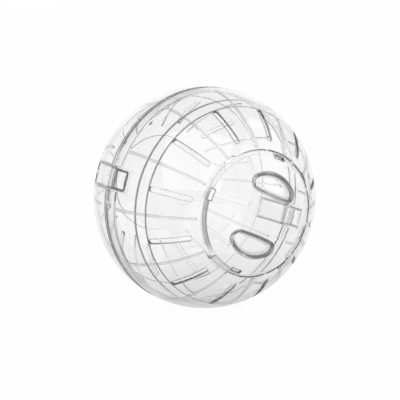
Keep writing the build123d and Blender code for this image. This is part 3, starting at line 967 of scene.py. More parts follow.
@dataclass
class TwistDoor:
    """Domed lid with two finger pockets, a stepped rim, and four hooks with a window by each."""

    ball: Ball
    azimuth: float = 81.0
    edge_gap: float = 0.3
    rim_width: float = 2.8
    rim_step: float = 0.4
    zone: float = 28.0
    lug_half_turn: float = 5.218
    lug_reach: float = 1.1
    lug_root: float = 1.4
    lug_neck: float = 0.4
    lug_gap: float = 0.25
    lug_wall: float = 1.4
    window_length: float = 2.4
    window_gap: float = 0.2
    pocket_offset: float = 13.5
    pocket_reach: float = 12.1
    pocket_half_chord: float = 19.0
    pocket_corner: float = 4.0
    pocket_depth: float = 3.2
    pocket_wall: float = 1.5
    pocket_draft: float = 22.0
    pocket_lip: float = 0.75
    pocket_foot: float = 0.9
    pocket_line: float = 0.4
    # Painted shade: dark lines on the pocket walls, the rim, the edge, the windows' frames and the hooks.
    pocket_shade: float = 0.85
    pocket_low_shade: float = 0.15
    rim_shade: float = 0.9
    rim_fill_shade: float = 0.3
    rim_dark: float = 0.75
    rim_far: float = 0.15
    dark_turn: tuple[float, float, float] = (165.0, 225.0, 12.0)
    painted_edge_shade: float = 0.05
    window_shade: float = 0.9
    frame_turn: float = 0.7
    frame_width: float = 0.45
    hook_shade: float = 0.2
    shade_fade: float = 0.15
    lug_blend: float = 0.17
    lug_round: float = 0.3
    edge_soft: float = 0.35
    under_round: float = 0.7
    step_round: tuple[float, float] = (0.2, 0.2)
    cut_margin: tuple[float, float] = (0.6, 0.15)
    frame_fade: float = 0.12
    frame_soft: float = 0.2
    spoke_count: int = 110
    spoke_gap: float = 0.012
    outline_counts: tuple[int, int, int] = (900, 700, 600)
    floor_rings: tuple[float, ...] = (0.2, 0.45, 0.75, 1.0)

    @property
    def edge(self) -> float:
        """Length along the ball from the door pole to the lid's edge."""
        return self.ball.along(self.ball.door_edge) - self.edge_gap

    def pocket_outline(self) -> tuple[Array, Array]:
        """Closed D: an arc away from the middle, a chord towards it, and a round corner at either end.

        Each stretch is centre + radius * (cos a, sin a), and the chord is a straight line.

        Returns:
            Points in the plane across the door axis, and the outward normals there.
        """
        reach, chord, corner = self.pocket_reach, self.pocket_half_chord, self.pocket_corner
        bow = (reach**2 + chord**2) / (2 * reach)
        middle = self.pocket_offset + reach - bow
        high = math.sqrt((bow - corner) ** 2 - (self.pocket_offset + corner - middle) ** 2)
        meet = math.atan2(high, self.pocket_offset + corner - middle)
        bow_count, corner_count, chord_count = self.outline_counts
        a, b = np.linspace(-meet, meet, bow_count), np.linspace(meet, math.pi, corner_count)[1:]
        y = np.linspace(high, -high, chord_count)[1:]
        angle = np.concatenate([a, b, np.full(y.size, math.pi), (2 * math.pi - b[::-1])[1:-1]])
        normal = np.stack([np.cos(angle), np.sin(angle)], axis=1)
        hub = np.array([self.pocket_offset + corner, high])
        bowed = np.array([middle, 0]) + bow * normal[: a.size]
        turned = hub + corner * normal[a.size : a.size + b.size]
        straight = np.stack([np.full(y.size, self.pocket_offset), y], axis=1)
        back = (turned * [1, -1])[::-1][1:-1]
        return np.concatenate([bowed, turned, straight, back]), normal

    @staticmethod
    def read(angle: Array, ring: Array, values: Array) -> Array:
        """Values at other angles, from values in order round a full turn, repeated on either side."""
        return np.interp(angle, ring, np.tile(values, 3))

    def spokes(self) -> tuple[Array, Array, Array, Array]:
        """Matched points on a pocket's outline and on the half disc round it, along straight spokes.

        Returns:
            Outline points, outward normals, points on the half disc's edge, and the pocket's middle.
        """
        points, normal = self.pocket_outline()
        middle = np.array([self.pocket_offset + self.pocket_reach / 2, 0.0])
        reach = self.ball.radius * math.sin(math.radians(self.zone))
        blend, border = self.lug_blend, self.frame_turn
        turn = self.lug_half_turn + np.array([-blend, 0, blend, border, border + self.frame_soft])
        must = np.radians(np.concatenate([turn, -turn, 90 - turn, turn - 90, [0, 90, -90]]))
        rim = reach * np.stack([np.cos(must), np.sin(must)], axis=1)
        ray = np.arctan2(*(points - middle).T[::-1])
        order = np.argsort(ray)
        ring = np.concatenate([ray[order] - 2 * math.pi, ray[order], ray[order] + 2 * math.pi])
        walk = np.concatenate([[0], np.cumsum(np.hypot(*np.diff(points, axis=0).T))])
        even = (np.arange(self.spoke_count) + 0.5) / self.spoke_count * walk[-1]
        even = np.interp(even, walk, np.arange(len(points)))
        base = ray[np.unique(np.round(even).astype(int))]
        pinned = np.arctan2(*(rim - middle).T[::-1])
        gap = np.abs((base[:, None] - pinned[None, :] + math.pi) % (2 * math.pi) - math.pi).min(axis=1)
        base = np.abs(base[gap > self.spoke_gap])
        angle = np.unique(np.round(np.concatenate([base, -base, pinned]), 9))
        angle = angle[(angle > -math.pi) & (angle <= math.pi)]
        outline = np.stack([self.read(angle, ring, points[order, axis]) for axis in (0, 1)], axis=1)
        outward = np.stack([self.read(angle, ring, normal[order, axis]) for axis in (0, 1)], axis=1)
        outward /= np.hypot(*outward.T)[:, None]
        way = np.stack([np.cos(angle), np.sin(angle)], axis=1)
        lean = way @ middle
        round_hit = -lean + np.sqrt(lean**2 + reach**2 - middle @ middle)
        flat_hit = np.where(way[:, 0] < -SMALL, -middle[0] / np.minimum(way[:, 0], -SMALL), np.inf)
        hit = middle + way * np.minimum(round_hit, flat_hit)[:, None]
        hit[np.abs(hit[:, 0]) < SMALL, 0] = 0
        return outline, outward, hit, middle

    def pocket_patch(self, outer: bool) -> tuple[Array, Array]:
        """Face of half the lid with its pocket, as rings from the half disc's edge to the pocket's middle.

        Between the disc's edge and the pocket, rings are straight blends. The pocket's side is a rounded step
        whose offset from the outline is tan(draft) * (height - height of the face at the pocket's middle).

        Args:
            outer: Whether it is the outer face rather than the inner one.

        Returns:
            Local points, by ring and spoke, with the pocket towards +X, and a shade for each ring.
        """
        ball = self.ball
        outline, outward, hit, middle = self.spokes()
        face = ball.radius if outer else ball.radius - ball.wall
        floor = ball.radius - self.pocket_depth - (0 if outer else self.pocket_wall)
        margin = 0 if outer else self.pocket_wall
        level = math.sqrt(ball.radius**2 - middle @ middle)
        taper = math.tan(math.radians(self.pocket_draft))
        far = (outline**2).sum(axis=1)
        rim = margin + taper * (np.sqrt(face**2 - far) - level)
        foot = margin + taper * (np.sqrt(floor**2 - far) - level)
        depth = face - floor
        lip, base = (self.pocket_lip, self.pocket_foot) if outer else (self.under_round, self.under_round)
        off, drop = rounded_step(depth, lip, base, 5)
        share = (drop / depth)[:, None]
        offset = rim + (foot - rim) * share + off[:, None]
        wall = outline + offset[:, :, None] * outward
        wide, tight = wall[:1] + self.shade_fade * outward, wall[-1:] - self.shade_fade * outward
        blend = np.linspace(0, 1, 7)[:-1, None, None]
        scale = face / ball.radius
        around = hit * scale + (wide[0] - hit * scale) * blend
        bottom = tight[0] + (middle - tight[0]) * np.array(self.floor_rings)[:, None, None]
        flat = np.concatenate([around, wide, wall, tight, bottom])
        before, after = len(around) + 1, len(bottom) + 1
        radius = np.concatenate([np.full(before, face), face - drop, np.full(after, floor)])[:, None]
        # Painted shade on the pocket's wall: dark near its lip, light below.
        side = np.where(drop < self.pocket_line * depth, self.pocket_shade, self.pocket_low_shade)
        shade = np.concatenate([np.zeros(before), side, np.zeros(after)])
        tall = np.sqrt(radius**2 - (flat**2).sum(axis=2))
        return np.concatenate([flat, tall[:, :, None]], axis=2), shade

    def lug_path(self) -> Array:
        """Outline of a hook below the lid's edge, with round corners.

        Returns:
            Lengths along the ball and heights, one pair in each row.
        """
        ball = self.ball
        neck, root = self.edge - self.lug_neck, self.edge - self.lug_root
        tip = ball.along(ball.door_edge) + self.lug_reach
        high = -ball.wall - self.lug_gap
        low = high - self.lug_wall
        grow, shrink = quarter_round(self.lug_round, 3)
        over = np.stack([tip - shrink, high - grow], axis=1)
        under = np.stack([tip - grow, low + shrink], axis=1)
        heel = np.stack([root + shrink, low + grow], axis=1)
        return np.concatenate([[[neck, -ball.wall], [neck, high]], over, under, heel, [[root, -ball.wall]]])

    def rim_rows(self) -> dict[str, Array]:
        """Rows of the stepped rim, from the pocketed middle outside, round the edge, to the middle inside.

        Returns:
            The rows by name; "cut" is 1 on the window's rows, and "frame" also on the line round it.
        """
        ball, rows = self.ball, Rows("height", "outside", "cut", "frame", "lug", "shade")
        zone, root = ball.along(self.zone), self.edge - self.lug_root
        step = ball.along(ball.door_edge) - self.rim_width
        first, last = root - self.window_length, root - self.window_gap
        off, drop = rounded_step(self.rim_step, *self.step_round)
        head, tail = self.cut_margin
        cut = np.concatenate([[first, first + head], step - off, [last - tail, last]])
        sunk = np.concatenate([[0, 0], -drop, [-self.rim_step] * 2])
        # Painted shade on the rim's step and on the window's rows.
        line = np.concatenate([np.zeros(2), np.full(drop.size, self.rim_shade), np.full(2, self.rim_fill_shade)])
        margin = self.frame_width + np.array([self.frame_fade, 0])
        rows.add(np.linspace(zone, first - margin[0], 3)[:-1], outside=1)
        rows.add(first - margin, outside=1, frame=[0, 1])
        rows.add(cut, height=sunk, outside=1, cut=1, frame=1, shade=line)
        rows.add(last + margin[::-1], height=-self.rim_step, outside=1, frame=[1, 0], shade=self.rim_fill_shade)
        grow, shrink = quarter_round(self.edge_soft)
        rows.add(self.edge - shrink, height=-self.rim_step - grow, outside=1, shade=self.painted_edge_shade)
        rows.add(self.edge - grow, height=-ball.wall + shrink, shade=self.painted_edge_shade)
        rows.add(np.linspace(self.edge - self.lug_neck, root, len(self.lug_path())), height=-ball.wall, lug=1)
        rows.add(cut[::-1], height=-ball.wall, cut=1, frame=1)
        rows.add(np.linspace(first - margin[1], zone, 4), height=-ball.wall)
        return rows.whole()

    def build(self, name: str) -> bpy.types.Object:
        """Makes the lid.

        Args:
            name: Name of the new object.

        Returns:
            The new object.
        """
        ball, surface = self.ball, Surface()
        for outer in (True, False):
            patch, shade = self.pocket_patch(outer)
            quads = grid_quads(*patch.shape[:2], closed_columns=True)
            for flip in (1, -1):
                surface.add(patch * [flip, flip, 1], quads, shade[:, None])
        hit = self.spokes()[2]
        arc = np.degrees(np.arctan2(hit[:, 1], hit[:, 0]))[hit[:, 0] > SMALL]
        turn = np.unique(np.round(np.concatenate([arc, arc + 180, [90, 270]]) % 360, 7))
        rows, path = self.rim_rows(), self.lug_path()
        cut, hook = rows["cut"] > 0, rows["lug"] > 0
        off = np.abs((turn + 45) % 90 - 45)
        share = np.clip((self.lug_half_turn + self.lug_blend - off) / (2 * self.lug_blend), 0, 1)[None, :]
        along = np.repeat(rows["along"][:, None], turn.size, axis=1)
        height = np.repeat(rows["height"][:, None], turn.size, axis=1)
        # Painted shade on the rim, darker on one side of the lid within the dark turn, and on the hooks and
        # the windows' frames.
        dark = window(turn + self.azimuth, *self.dark_turn)[None, :]
        shade = rows["shade"][:, None] * (self.rim_far + (1 - self.rim_far) * dark)
        shade = np.maximum(shade, (rows["shade"] * rows["outside"] > 0)[:, None] * self.rim_dark * dark)
        along[hook] += share * (path[:, :1] - along[hook])
        height[hook] += share * (path[:, 1:] - height[hook])
        shade[hook] = np.maximum(shade[hook], share * self.hook_shade)
        held = off <= self.lug_half_turn + TURN_SLACK
        near = off <= self.lug_half_turn + self.frame_turn + TURN_SLACK
        shade = np.maximum(shade, (rows["frame"][:, None] * near[None, :]) * self.window_shade)
        points = ball.place(along, height, np.radians(turn)[None, :])
        quads = grid_quads(*points.shape[:2], closed_columns=True).reshape(points.shape[0] - 1, turn.size, 4)
        gap = held & np.roll(held, -1)
        open_rows = cut[:-1] & cut[1:] & (rows["outside"][:-1] == rows["outside"][1:])
        number = surface.add(points, quads[~(open_rows[:, None] & gap[None, :])], shade)
        up = number[cut & (rows["outside"] > 0)]
        down = number[cut & (rows["outside"] == 0)][::-1]
        for quarter in range(4):
            here = np.flatnonzero(held & (np.abs((turn - 90 * quarter + 180) % 360 - 180) < 45))
            here = here[np.argsort((turn[here] - 90 * quarter + 180) % 360)]
            for column in (here[0], here[-1]):
                surface.join(up[:, column], down[:, column])
            for row in (0, -1):
                surface.join(up[row, here], down[row, here])
        cos, sin = math.cos(math.radians(self.azimuth)), math.sin(math.radians(self.azimuth))
        spin = np.array([[cos, sin, 0], [-sin, cos, 0], [0, 0, 1]])
        surface.points = [patch @ spin for patch in surface.points]
        return surface.build(name, ball)


@dataclass
class SwingClip:
    """Clip across the seam: a thin open loop on the front half, a grip groove, a thick strap and two pins."""

    ball: Ball
    side: Side
    recess: float = 0.8
    thickness: float = 2.2
    loop_recess: float = 0.1
    loop_wall: float = 1.0
    loop_overlap: float = 2.8
    strap_setback: float = 0.8
    half_width: float = 6.2
    end_gap: float = 0.7
    bar: float = 1.3
    corner: float = 1.5
    window_length: float = 9.0
    groove_setback: float = 2.8
    groove_width: float = 3.5
    groove_depth: float = 0.5
    pin_setback: float = 2.6
    pin_radius: float = 0.8
    pin_half: float = 7.3
    round: float = 0.45
    # Painted shade on the clip's edges, in place of the shade that refraction gives them.
    bar_shade: float = 0.85
    bridge_shade: float = 0.04
    groove_shade: float = 0.7
    strap_shade: float = 0.3
    spread: tuple[float, ...] = (0.0, 0.03, 0.1, 0.22, 0.4, 0.65, 1.0)
    step_round: tuple[float, float] = (0.25, 0.25)
    bridge_line: tuple[float, float] = (0.8, 1.1)
    bridge_start: float = 1.22
    groove_gap: float = 0.4
    strap_gap: tuple[float, float] = (0.7, 0.8)
    middle_gap: float = 0.2
    corner_ease: float = 0.1
    least_half: float = 0.02
    side_line: float = 0.6
    pin_soft: float = 0.25
    pin_root: float = 0.3
    pin_sides: int = 24

    @property
    def front(self) -> float:
        """Length along the ball to the loop's front edge."""
        return self.ball.along(self.ball.channel_front) + self.end_gap

    @property
    def pin(self) -> float:
        """Length along the ball to the pivot line."""
        return self.ball.along(self.ball.channel_rear) - self.pin_setback

    def place(self, along: Array, across: Array, height: Array) -> Array:
        """Points of the strap: the length along gives the polar angle, and the width lies square to that arc.

        Args:
            along: Length along the outer surface from the door pole, in millimetres.
            across: Distance from the clip's middle line, in millimetres.
            height: Height above the outer surface, in millimetres.

        Returns:
            Local points in millimetres.
        """
        polar, across, height = np.broadcast_arrays(along / self.ball.radius, across, height)
        far = self.ball.radius + height
        flip = math.cos(math.radians(self.side.value))
        return np.stack([flip * far * np.sin(polar), flip * across, far * np.cos(polar)], axis=-1)

    def rows(self, spread: Array) -> dict[str, Array]:
        """Rows from the loop's front edge to the barrel: how far both faces lie below the loop's.

        Args:
            spread: Shares of a rounded edge's radius at which rows lie.

        Returns:
            Rows by name: "sunk" for the upper face, "deep" for the lower one, "side" for the sides' painted
                shade.
        """
        ball, near, barrel = self.ball, self.round * spread, self.thickness / 2
        rows = Rows("sunk", "deep", "side", "shade")
        hole, dark, pale, plain = self.front + self.bar, self.bar_shade, self.bridge_shade, self.strap_shade
        end = hole + self.window_length
        groove = end + self.groove_setback
        last, gap = groove + self.groove_width, self.groove_gap
        rows.add(np.concatenate([self.front + near, hole - near[::-1]]), side=dark, shade=dark)
        rows.add(np.linspace(hole, end, 6)[1:-1], side=dark)
        rows.add(end + np.concatenate([near, self.bridge_line]), side=dark, shade=dark)
        rows.add(np.linspace(end + self.bridge_start, groove - gap, 3), side=dark, shade=pale)
        off, drop = rounded_step(self.groove_depth, *self.step_round)
        rows.add(groove - off, sunk=drop, side=dark, shade=self.groove_shade)
        rows.add(np.linspace(groove + gap, last - gap, 4), sunk=self.groove_depth, side=dark, shade=pale)
        rows.add(last + off[::-1], sunk=drop[::-1], side=dark, shade=pale)
        step, lap = self.recess - self.loop_recess, ball.seam + self.loop_overlap
        off, drop = rounded_step(step + self.thickness - self.loop_wall, *self.step_round)
        rows.add(ball.seam + self.strap_setback - off, deep=drop, side=plain)
        below = drop[-1]
        off, drop = rounded_step(step, *self.step_round)
        rows.add(lap - off, sunk=drop, deep=below, side=plain, shade=pale)
        rest = np.linspace(lap + self.strap_gap[0], self.pin - self.strap_gap[1], 7)
        rear = self.pin + barrel
        rows.add(np.concatenate([rest, rear - barrel * spread[::-1]]), sunk=drop[-1], deep=below, side=plain)
        return rows.whole()

    def build(self, name: str) -> bpy.types.Object:
        """Makes the clip: an upper and a lower face over one grid, rounded towards every edge, and the pins.

        Near an edge both faces draw together by radius - sqrt(radius^2 - (radius - distance)^2).

        Args:
            name: Name of the new object.

        Returns:
            The new object.
        """
        ball, r, front, barrel = self.ball, self.round, self.front, self.thickness / 2
        rear, hole = self.pin + barrel, self.front + self.bar
        end, inner = hole + self.window_length, self.half_width - self.bar
        spread = np.array(self.spread)
        rows, soft = self.rows(spread), spread * r
        middle = np.linspace(0, inner - r - self.middle_gap, 4)
        half = np.concatenate([middle, inner - soft[::-1], inner + soft, self.half_width - soft[::-1]])
        half = np.unique(np.round(half, 6))
        x = np.concatenate([-half[::-1], half[1:]])
        s, flat = rows["along"][:, None], np.abs(x)[None, :]
        near = np.clip(self.corner - (s - front), 0, self.corner)
        width = self.half_width - self.corner + np.sqrt(self.corner**2 - near**2)
        base = self.half_width - self.corner - self.corner_ease
        flat = np.where(flat > base, base + (flat - base) * (width - base) / (self.half_width - base), flat)
        qx, qy = flat - (self.half_width - self.corner), front + self.corner - s
        rim = np.minimum(self.half_width - flat, s - front)
        rim = np.where((qx > 0) & (qy > 0), self.corner - np.hypot(qx, qy), rim)
        gap = np.hypot(np.maximum(flat - inner, 0), np.maximum(np.maximum(hole - s, s - end), 0))
        draw = edge_round(np.maximum(rim, 0), r) + edge_round(gap, r)
        draw = draw + edge_round(np.maximum(rear - s, 0), barrel)
        sunk, deep = rows["sunk"][:, None], rows["deep"][:, None]
        thick = self.loop_wall + deep - sunk
        draw = np.minimum(draw, thick / 2 - self.least_half * (rear - s > SMALL))
        top = -self.loop_recess - sunk - draw
        low = top - thick + 2 * draw
        across = np.sign(x)[None, :] * flat
        sides = (flat > inner) & (s < end) | (flat > self.half_width - self.side_line)
        # Painted shade on the loop's bars, the groove, the bridge and the sides.
        shade = np.maximum(rows["shade"][:, None], sides * rows["side"][:, None])
        quads = grid_quads(s.size, x.size).reshape(s.size - 1, x.size - 1, 4)
        mid = (np.abs(x[:-1] + x[1:]) / 2 < inner)[None, :]
        cut = (rows["along"][:-1] >= hole - SMALL) & (rows["along"][1:] <= end + SMALL)
        keep = quads[~(cut[:, None] & mid)]
        surface = Surface()
        up = surface.add(self.place(s, across, top), keep, shade)
        down = surface.add(self.place(s, across, low), keep, shade)
        ring = np.concatenate([up[0, :-1], up[:-1, -1], up[-1, :0:-1], up[::-1, 0]])
        surface.join(ring, ring - up[0, 0] + down[0, 0])
        i, j = np.flatnonzero(cut), np.flatnonzero(mid[0])
        top_i, low_i = i[0], i[-1] + 1
        left, right = j[0], j[-1] + 1
        ring = np.concatenate([up[top_i, left:right], up[top_i:low_i, right], up[low_i, right:left:-1],
                               up[low_i:top_i:-1, left], up[top_i, left:left + 1]])
        surface.join(ring, ring - up[0, 0] + down[0, 0])
        for way in (-1, 1):
            self.add_pin(surface, way)
        return surface.build(name, ball)

    def add_pin(self, surface: Surface, way: int) -> None:
        """Adds one pin: a round bar with a rounded end, radius over distance turned about the pivot line.

        Args:
            surface: The clip's surface.
            way: Which side of the clip, -1 or 1.
        """
        root = self.half_width - self.pin_root
        grow, shrink = quarter_round(self.pin_soft)
        reach = np.concatenate([[root, root], self.pin_half - shrink, [self.pin_half]])
        radius = np.concatenate([[0, self.pin_radius], self.pin_radius - grow, [0]])
        turn = np.linspace(0, 2 * math.pi, self.pin_sides + 1)[:-1]
        height = -self.recess - self.thickness / 2 + radius[:, None] * np.sin(turn)
        along = self.pin + radius[:, None] * np.cos(turn)
        quads = grid_quads(reach.size, self.pin_sides, closed_columns=True)
        surface.add(self.place(along, way * reach[:, None], height), quads)


class NodeKit:
    """Short ways to put nodes into a shader tree and link them."""

    def __init__(self, tree: bpy.types.NodeTree) -> None:
        """Works on one tree."""
        self.tree = tree

    def node(self, kind: str, **values: object) -> bpy.types.Node:
        """Adds a node and sets its properties, and its inputs by name.

        Args:
            kind: Blender's name of the node type.
            **values: Properties, or inputs written with underscores for spaces.

        Returns:
            The new node.
        """
        made = self.tree.nodes.new(kind)
        for key, value in values.items():
            if hasattr(made, key):
                setattr(made, key, value)
            else:
                made.inputs[key.replace("_", " ")].default_value = value
        return made

    def link(self, source: bpy.types.NodeSocket, target: bpy.types.NodeSocket) -> None:
        """Links an output to an input."""
        self.tree.links.new(source, target)


@dataclass(frozen=True)
class MouldMarksAndPaintedShade:
    """Faint flow marks, haze and rub marks of a clear moulding, and painted edge shade, as one node group for
    every plastic.
    """

    name: str = "mould_marks_and_painted_shade"
    cloud_scale: float = 34.0
    cloud_range: tuple[float, float] = (0.42, 0.72)
    rub_scale: float = 150.0
    rub_range: tuple[float, float] = (0.56, 0.74)
    flow_scale: float = 60.0

    def group(self) -> bpy.types.NodeTree:
        """Makes the group, which puts out a tint darkened by painted edge shade, a roughness and a height
        that change over the surface.

        Returns:
            The node group.
        """
        tree = bpy.data.node_groups.new(self.name, "ShaderNodeTree")
        for way, kind, labels in (("INPUT", "NodeSocketColor", ("Clean", "Cloudy", "Edge")),
                                  ("INPUT", "NodeSocketFloat", ("Gloss", "Haze", "Rub", "Flow")),
                                  ("OUTPUT", "NodeSocketColor", ("Tint",)),
                                  ("OUTPUT", "NodeSocketFloat", ("Roughness", "Height"))):
            for label in labels:
                tree.interface.new_socket(label, in_out=way, socket_type=kind)
        kit = NodeKit(tree)
        given, out = kit.node("NodeGroupInput"), kit.node("NodeGroupOutput")
        place = kit.node("ShaderNodeTexCoord")
        cloud = kit.node("ShaderNodeTexNoise", Scale=self.cloud_scale, Detail=3.0, Roughness=0.55)
        rubs = kit.node("ShaderNodeTexNoise", Scale=self.rub_scale, Detail=6.0, Roughness=0.7)
        waves = kit.node("ShaderNodeTexNoise", Scale=self.flow_scale, Detail=1.0, Roughness=0.4)
        for texture in (cloud, rubs, waves):
            kit.link(place.outputs["Object"], texture.inputs["Vector"])
        low, high = self.cloud_range
        patch = kit.node("ShaderNodeMapRange", From_Min=low, From_Max=high)
        kit.link(cloud.outputs["Fac"], patch.inputs["Value"])
        low, high = self.rub_range
        worn = kit.node("ShaderNodeMapRange", From_Min=low, From_Max=high)
        kit.link(rubs.outputs["Fac"], worn.inputs["Value"])
        tint = kit.node("ShaderNodeMix", data_type="RGBA")
        kit.link(patch.outputs["Result"], tint.inputs["Factor"])
        kit.link(given.outputs["Clean"], tint.inputs["A"])
        kit.link(given.outputs["Cloudy"], tint.inputs["B"])
        # Painted shade: mixes the tint towards the dark edge colour by each point's painted edge shade.
        shaded = kit.node("ShaderNodeAttribute", attribute_name="painted_edge_shade")
        painted_shade_tint = kit.node("ShaderNodeMix", data_type="RGBA")
        kit.link(shaded.outputs["Fac"], painted_shade_tint.inputs["Factor"])
        kit.link(tint.outputs["Result"], painted_shade_tint.inputs["A"])
        kit.link(given.outputs["Edge"], painted_shade_tint.inputs["B"])
        kit.link(painted_shade_tint.outputs["Result"], out.inputs["Tint"])
        haze = kit.node("ShaderNodeMath", operation="MULTIPLY_ADD")
        kit.link(patch.outputs["Result"], haze.inputs[0])
        kit.link(given.outputs["Haze"], haze.inputs[1])
        kit.link(given.outputs["Gloss"], haze.inputs[2])
        rub = kit.node("ShaderNodeMath", operation="MULTIPLY_ADD")
        kit.link(worn.outputs["Result"], rub.inputs[0])
        kit.link(given.outputs["Rub"], rub.inputs[1])
        kit.link(haze.outputs["Value"], rub.inputs[2])
        kit.link(rub.outputs["Value"], out.inputs["Roughness"])
        flow = kit.node("ShaderNodeMath", operation="MULTIPLY")
        kit.link(waves.outputs["Fac"], flow.inputs[0])
        kit.link(given.outputs["Flow"], flow.inputs[1])
        kit.link(flow.outputs["Value"], out.inputs["Height"])
        return tree


@dataclass(frozen=True)
class ClearPlastic:
    """Finish of a clear moulding: glossy, tinted in the thick, with the marks of its mould and of use, and
    painted shade along its edges.
    """

    name: str
    clean: tuple[float, float, float] = (1.0, 1.0, 1.0)
    cloudy: tuple[float, float, float] = (0.965, 0.966, 0.968)
    # Colour that the painted edge shade mixes towards.
    edge: tuple[float, float, float] = (0.03, 0.03, 0.031)
    depth_tint: tuple[float, float, float] = (0.42, 0.42, 0.425)
    density: float = 20.0
    index: float = 1.57
    gloss: float = 0.012
    haze: float = 0.02
    rub: float = 0.05
    flow: float = 1.0
    flow_strength: float = 0.06
    flow_height: float = 0.0004

    def build(self, marks: bpy.types.NodeTree) -> bpy.types.Material:
        """Makes the material.

        Args:
            marks: The node group of mould marks.

        Returns:
            The new material.
        """
        material = bpy.data.materials.new(self.name)
        material.use_nodes = True
        kit = NodeKit(material.node_tree)
        shader = material.node_tree.nodes["Principled BSDF"]
        shader.inputs["Metallic"].default_value = 0.0
        shader.inputs["Transmission Weight"].default_value = 1.0
        shader.inputs["IOR"].default_value = self.index
        worn = kit.node("ShaderNodeGroup", node_tree=marks)
        for label, tint in (("Clean", self.clean), ("Cloudy", self.cloudy), ("Edge", self.edge)):
            worn.inputs[label].default_value = (*tint, 1.0)
        for label, value in (("Gloss", self.gloss), ("Haze", self.haze), ("Rub", self.rub),
                             ("Flow", self.flow)):
            worn.inputs[label].default_value = value
        kit.link(worn.outputs["Tint"], shader.inputs["Base Color"])
        kit.link(worn.outputs["Roughness"], shader.inputs["Roughness"])
        bump = kit.node("ShaderNodeBump", Strength=self.flow_strength, Distance=self.flow_height)
        kit.link(worn.outputs["Height"], bump.inputs["Height"])
        kit.link(bump.outputs["Normal"], shader.inputs["Normal"])
        inside = kit.node("ShaderNodeVolumeAbsorption", Color=(*self.depth_tint, 1.0), Density=self.density)
        kit.link(inside.outputs["Volume"], material.node_tree.nodes["Material Output"].inputs["Volume"])
        return material


@dataclass(frozen=True)
class SoftBox:
    """A wide soft lamp: where it hangs, how wide it is and its power."""

    name: str
    place: tuple[float, float, float]
    width: float
    power: float

    def build(self) -> bpy.types.Object:
        """Hangs the lamp so that it faces the ball.

        Returns:
            The lamp.
        """
        light = bpy.data.lights.new(self.name, "AREA")
        light.size, light.energy = self.width, self.power
        lamp = bpy.data.objects.new(self.name, light)
        bpy.context.scene.collection.objects.link(lamp)
        lamp.location = self.place
        lamp.rotation_mode = "QUATERNION"
        lamp.rotation_quaternion = (-Vector(self.place)).to_track_quat("-Z", "Y")
        return lamp


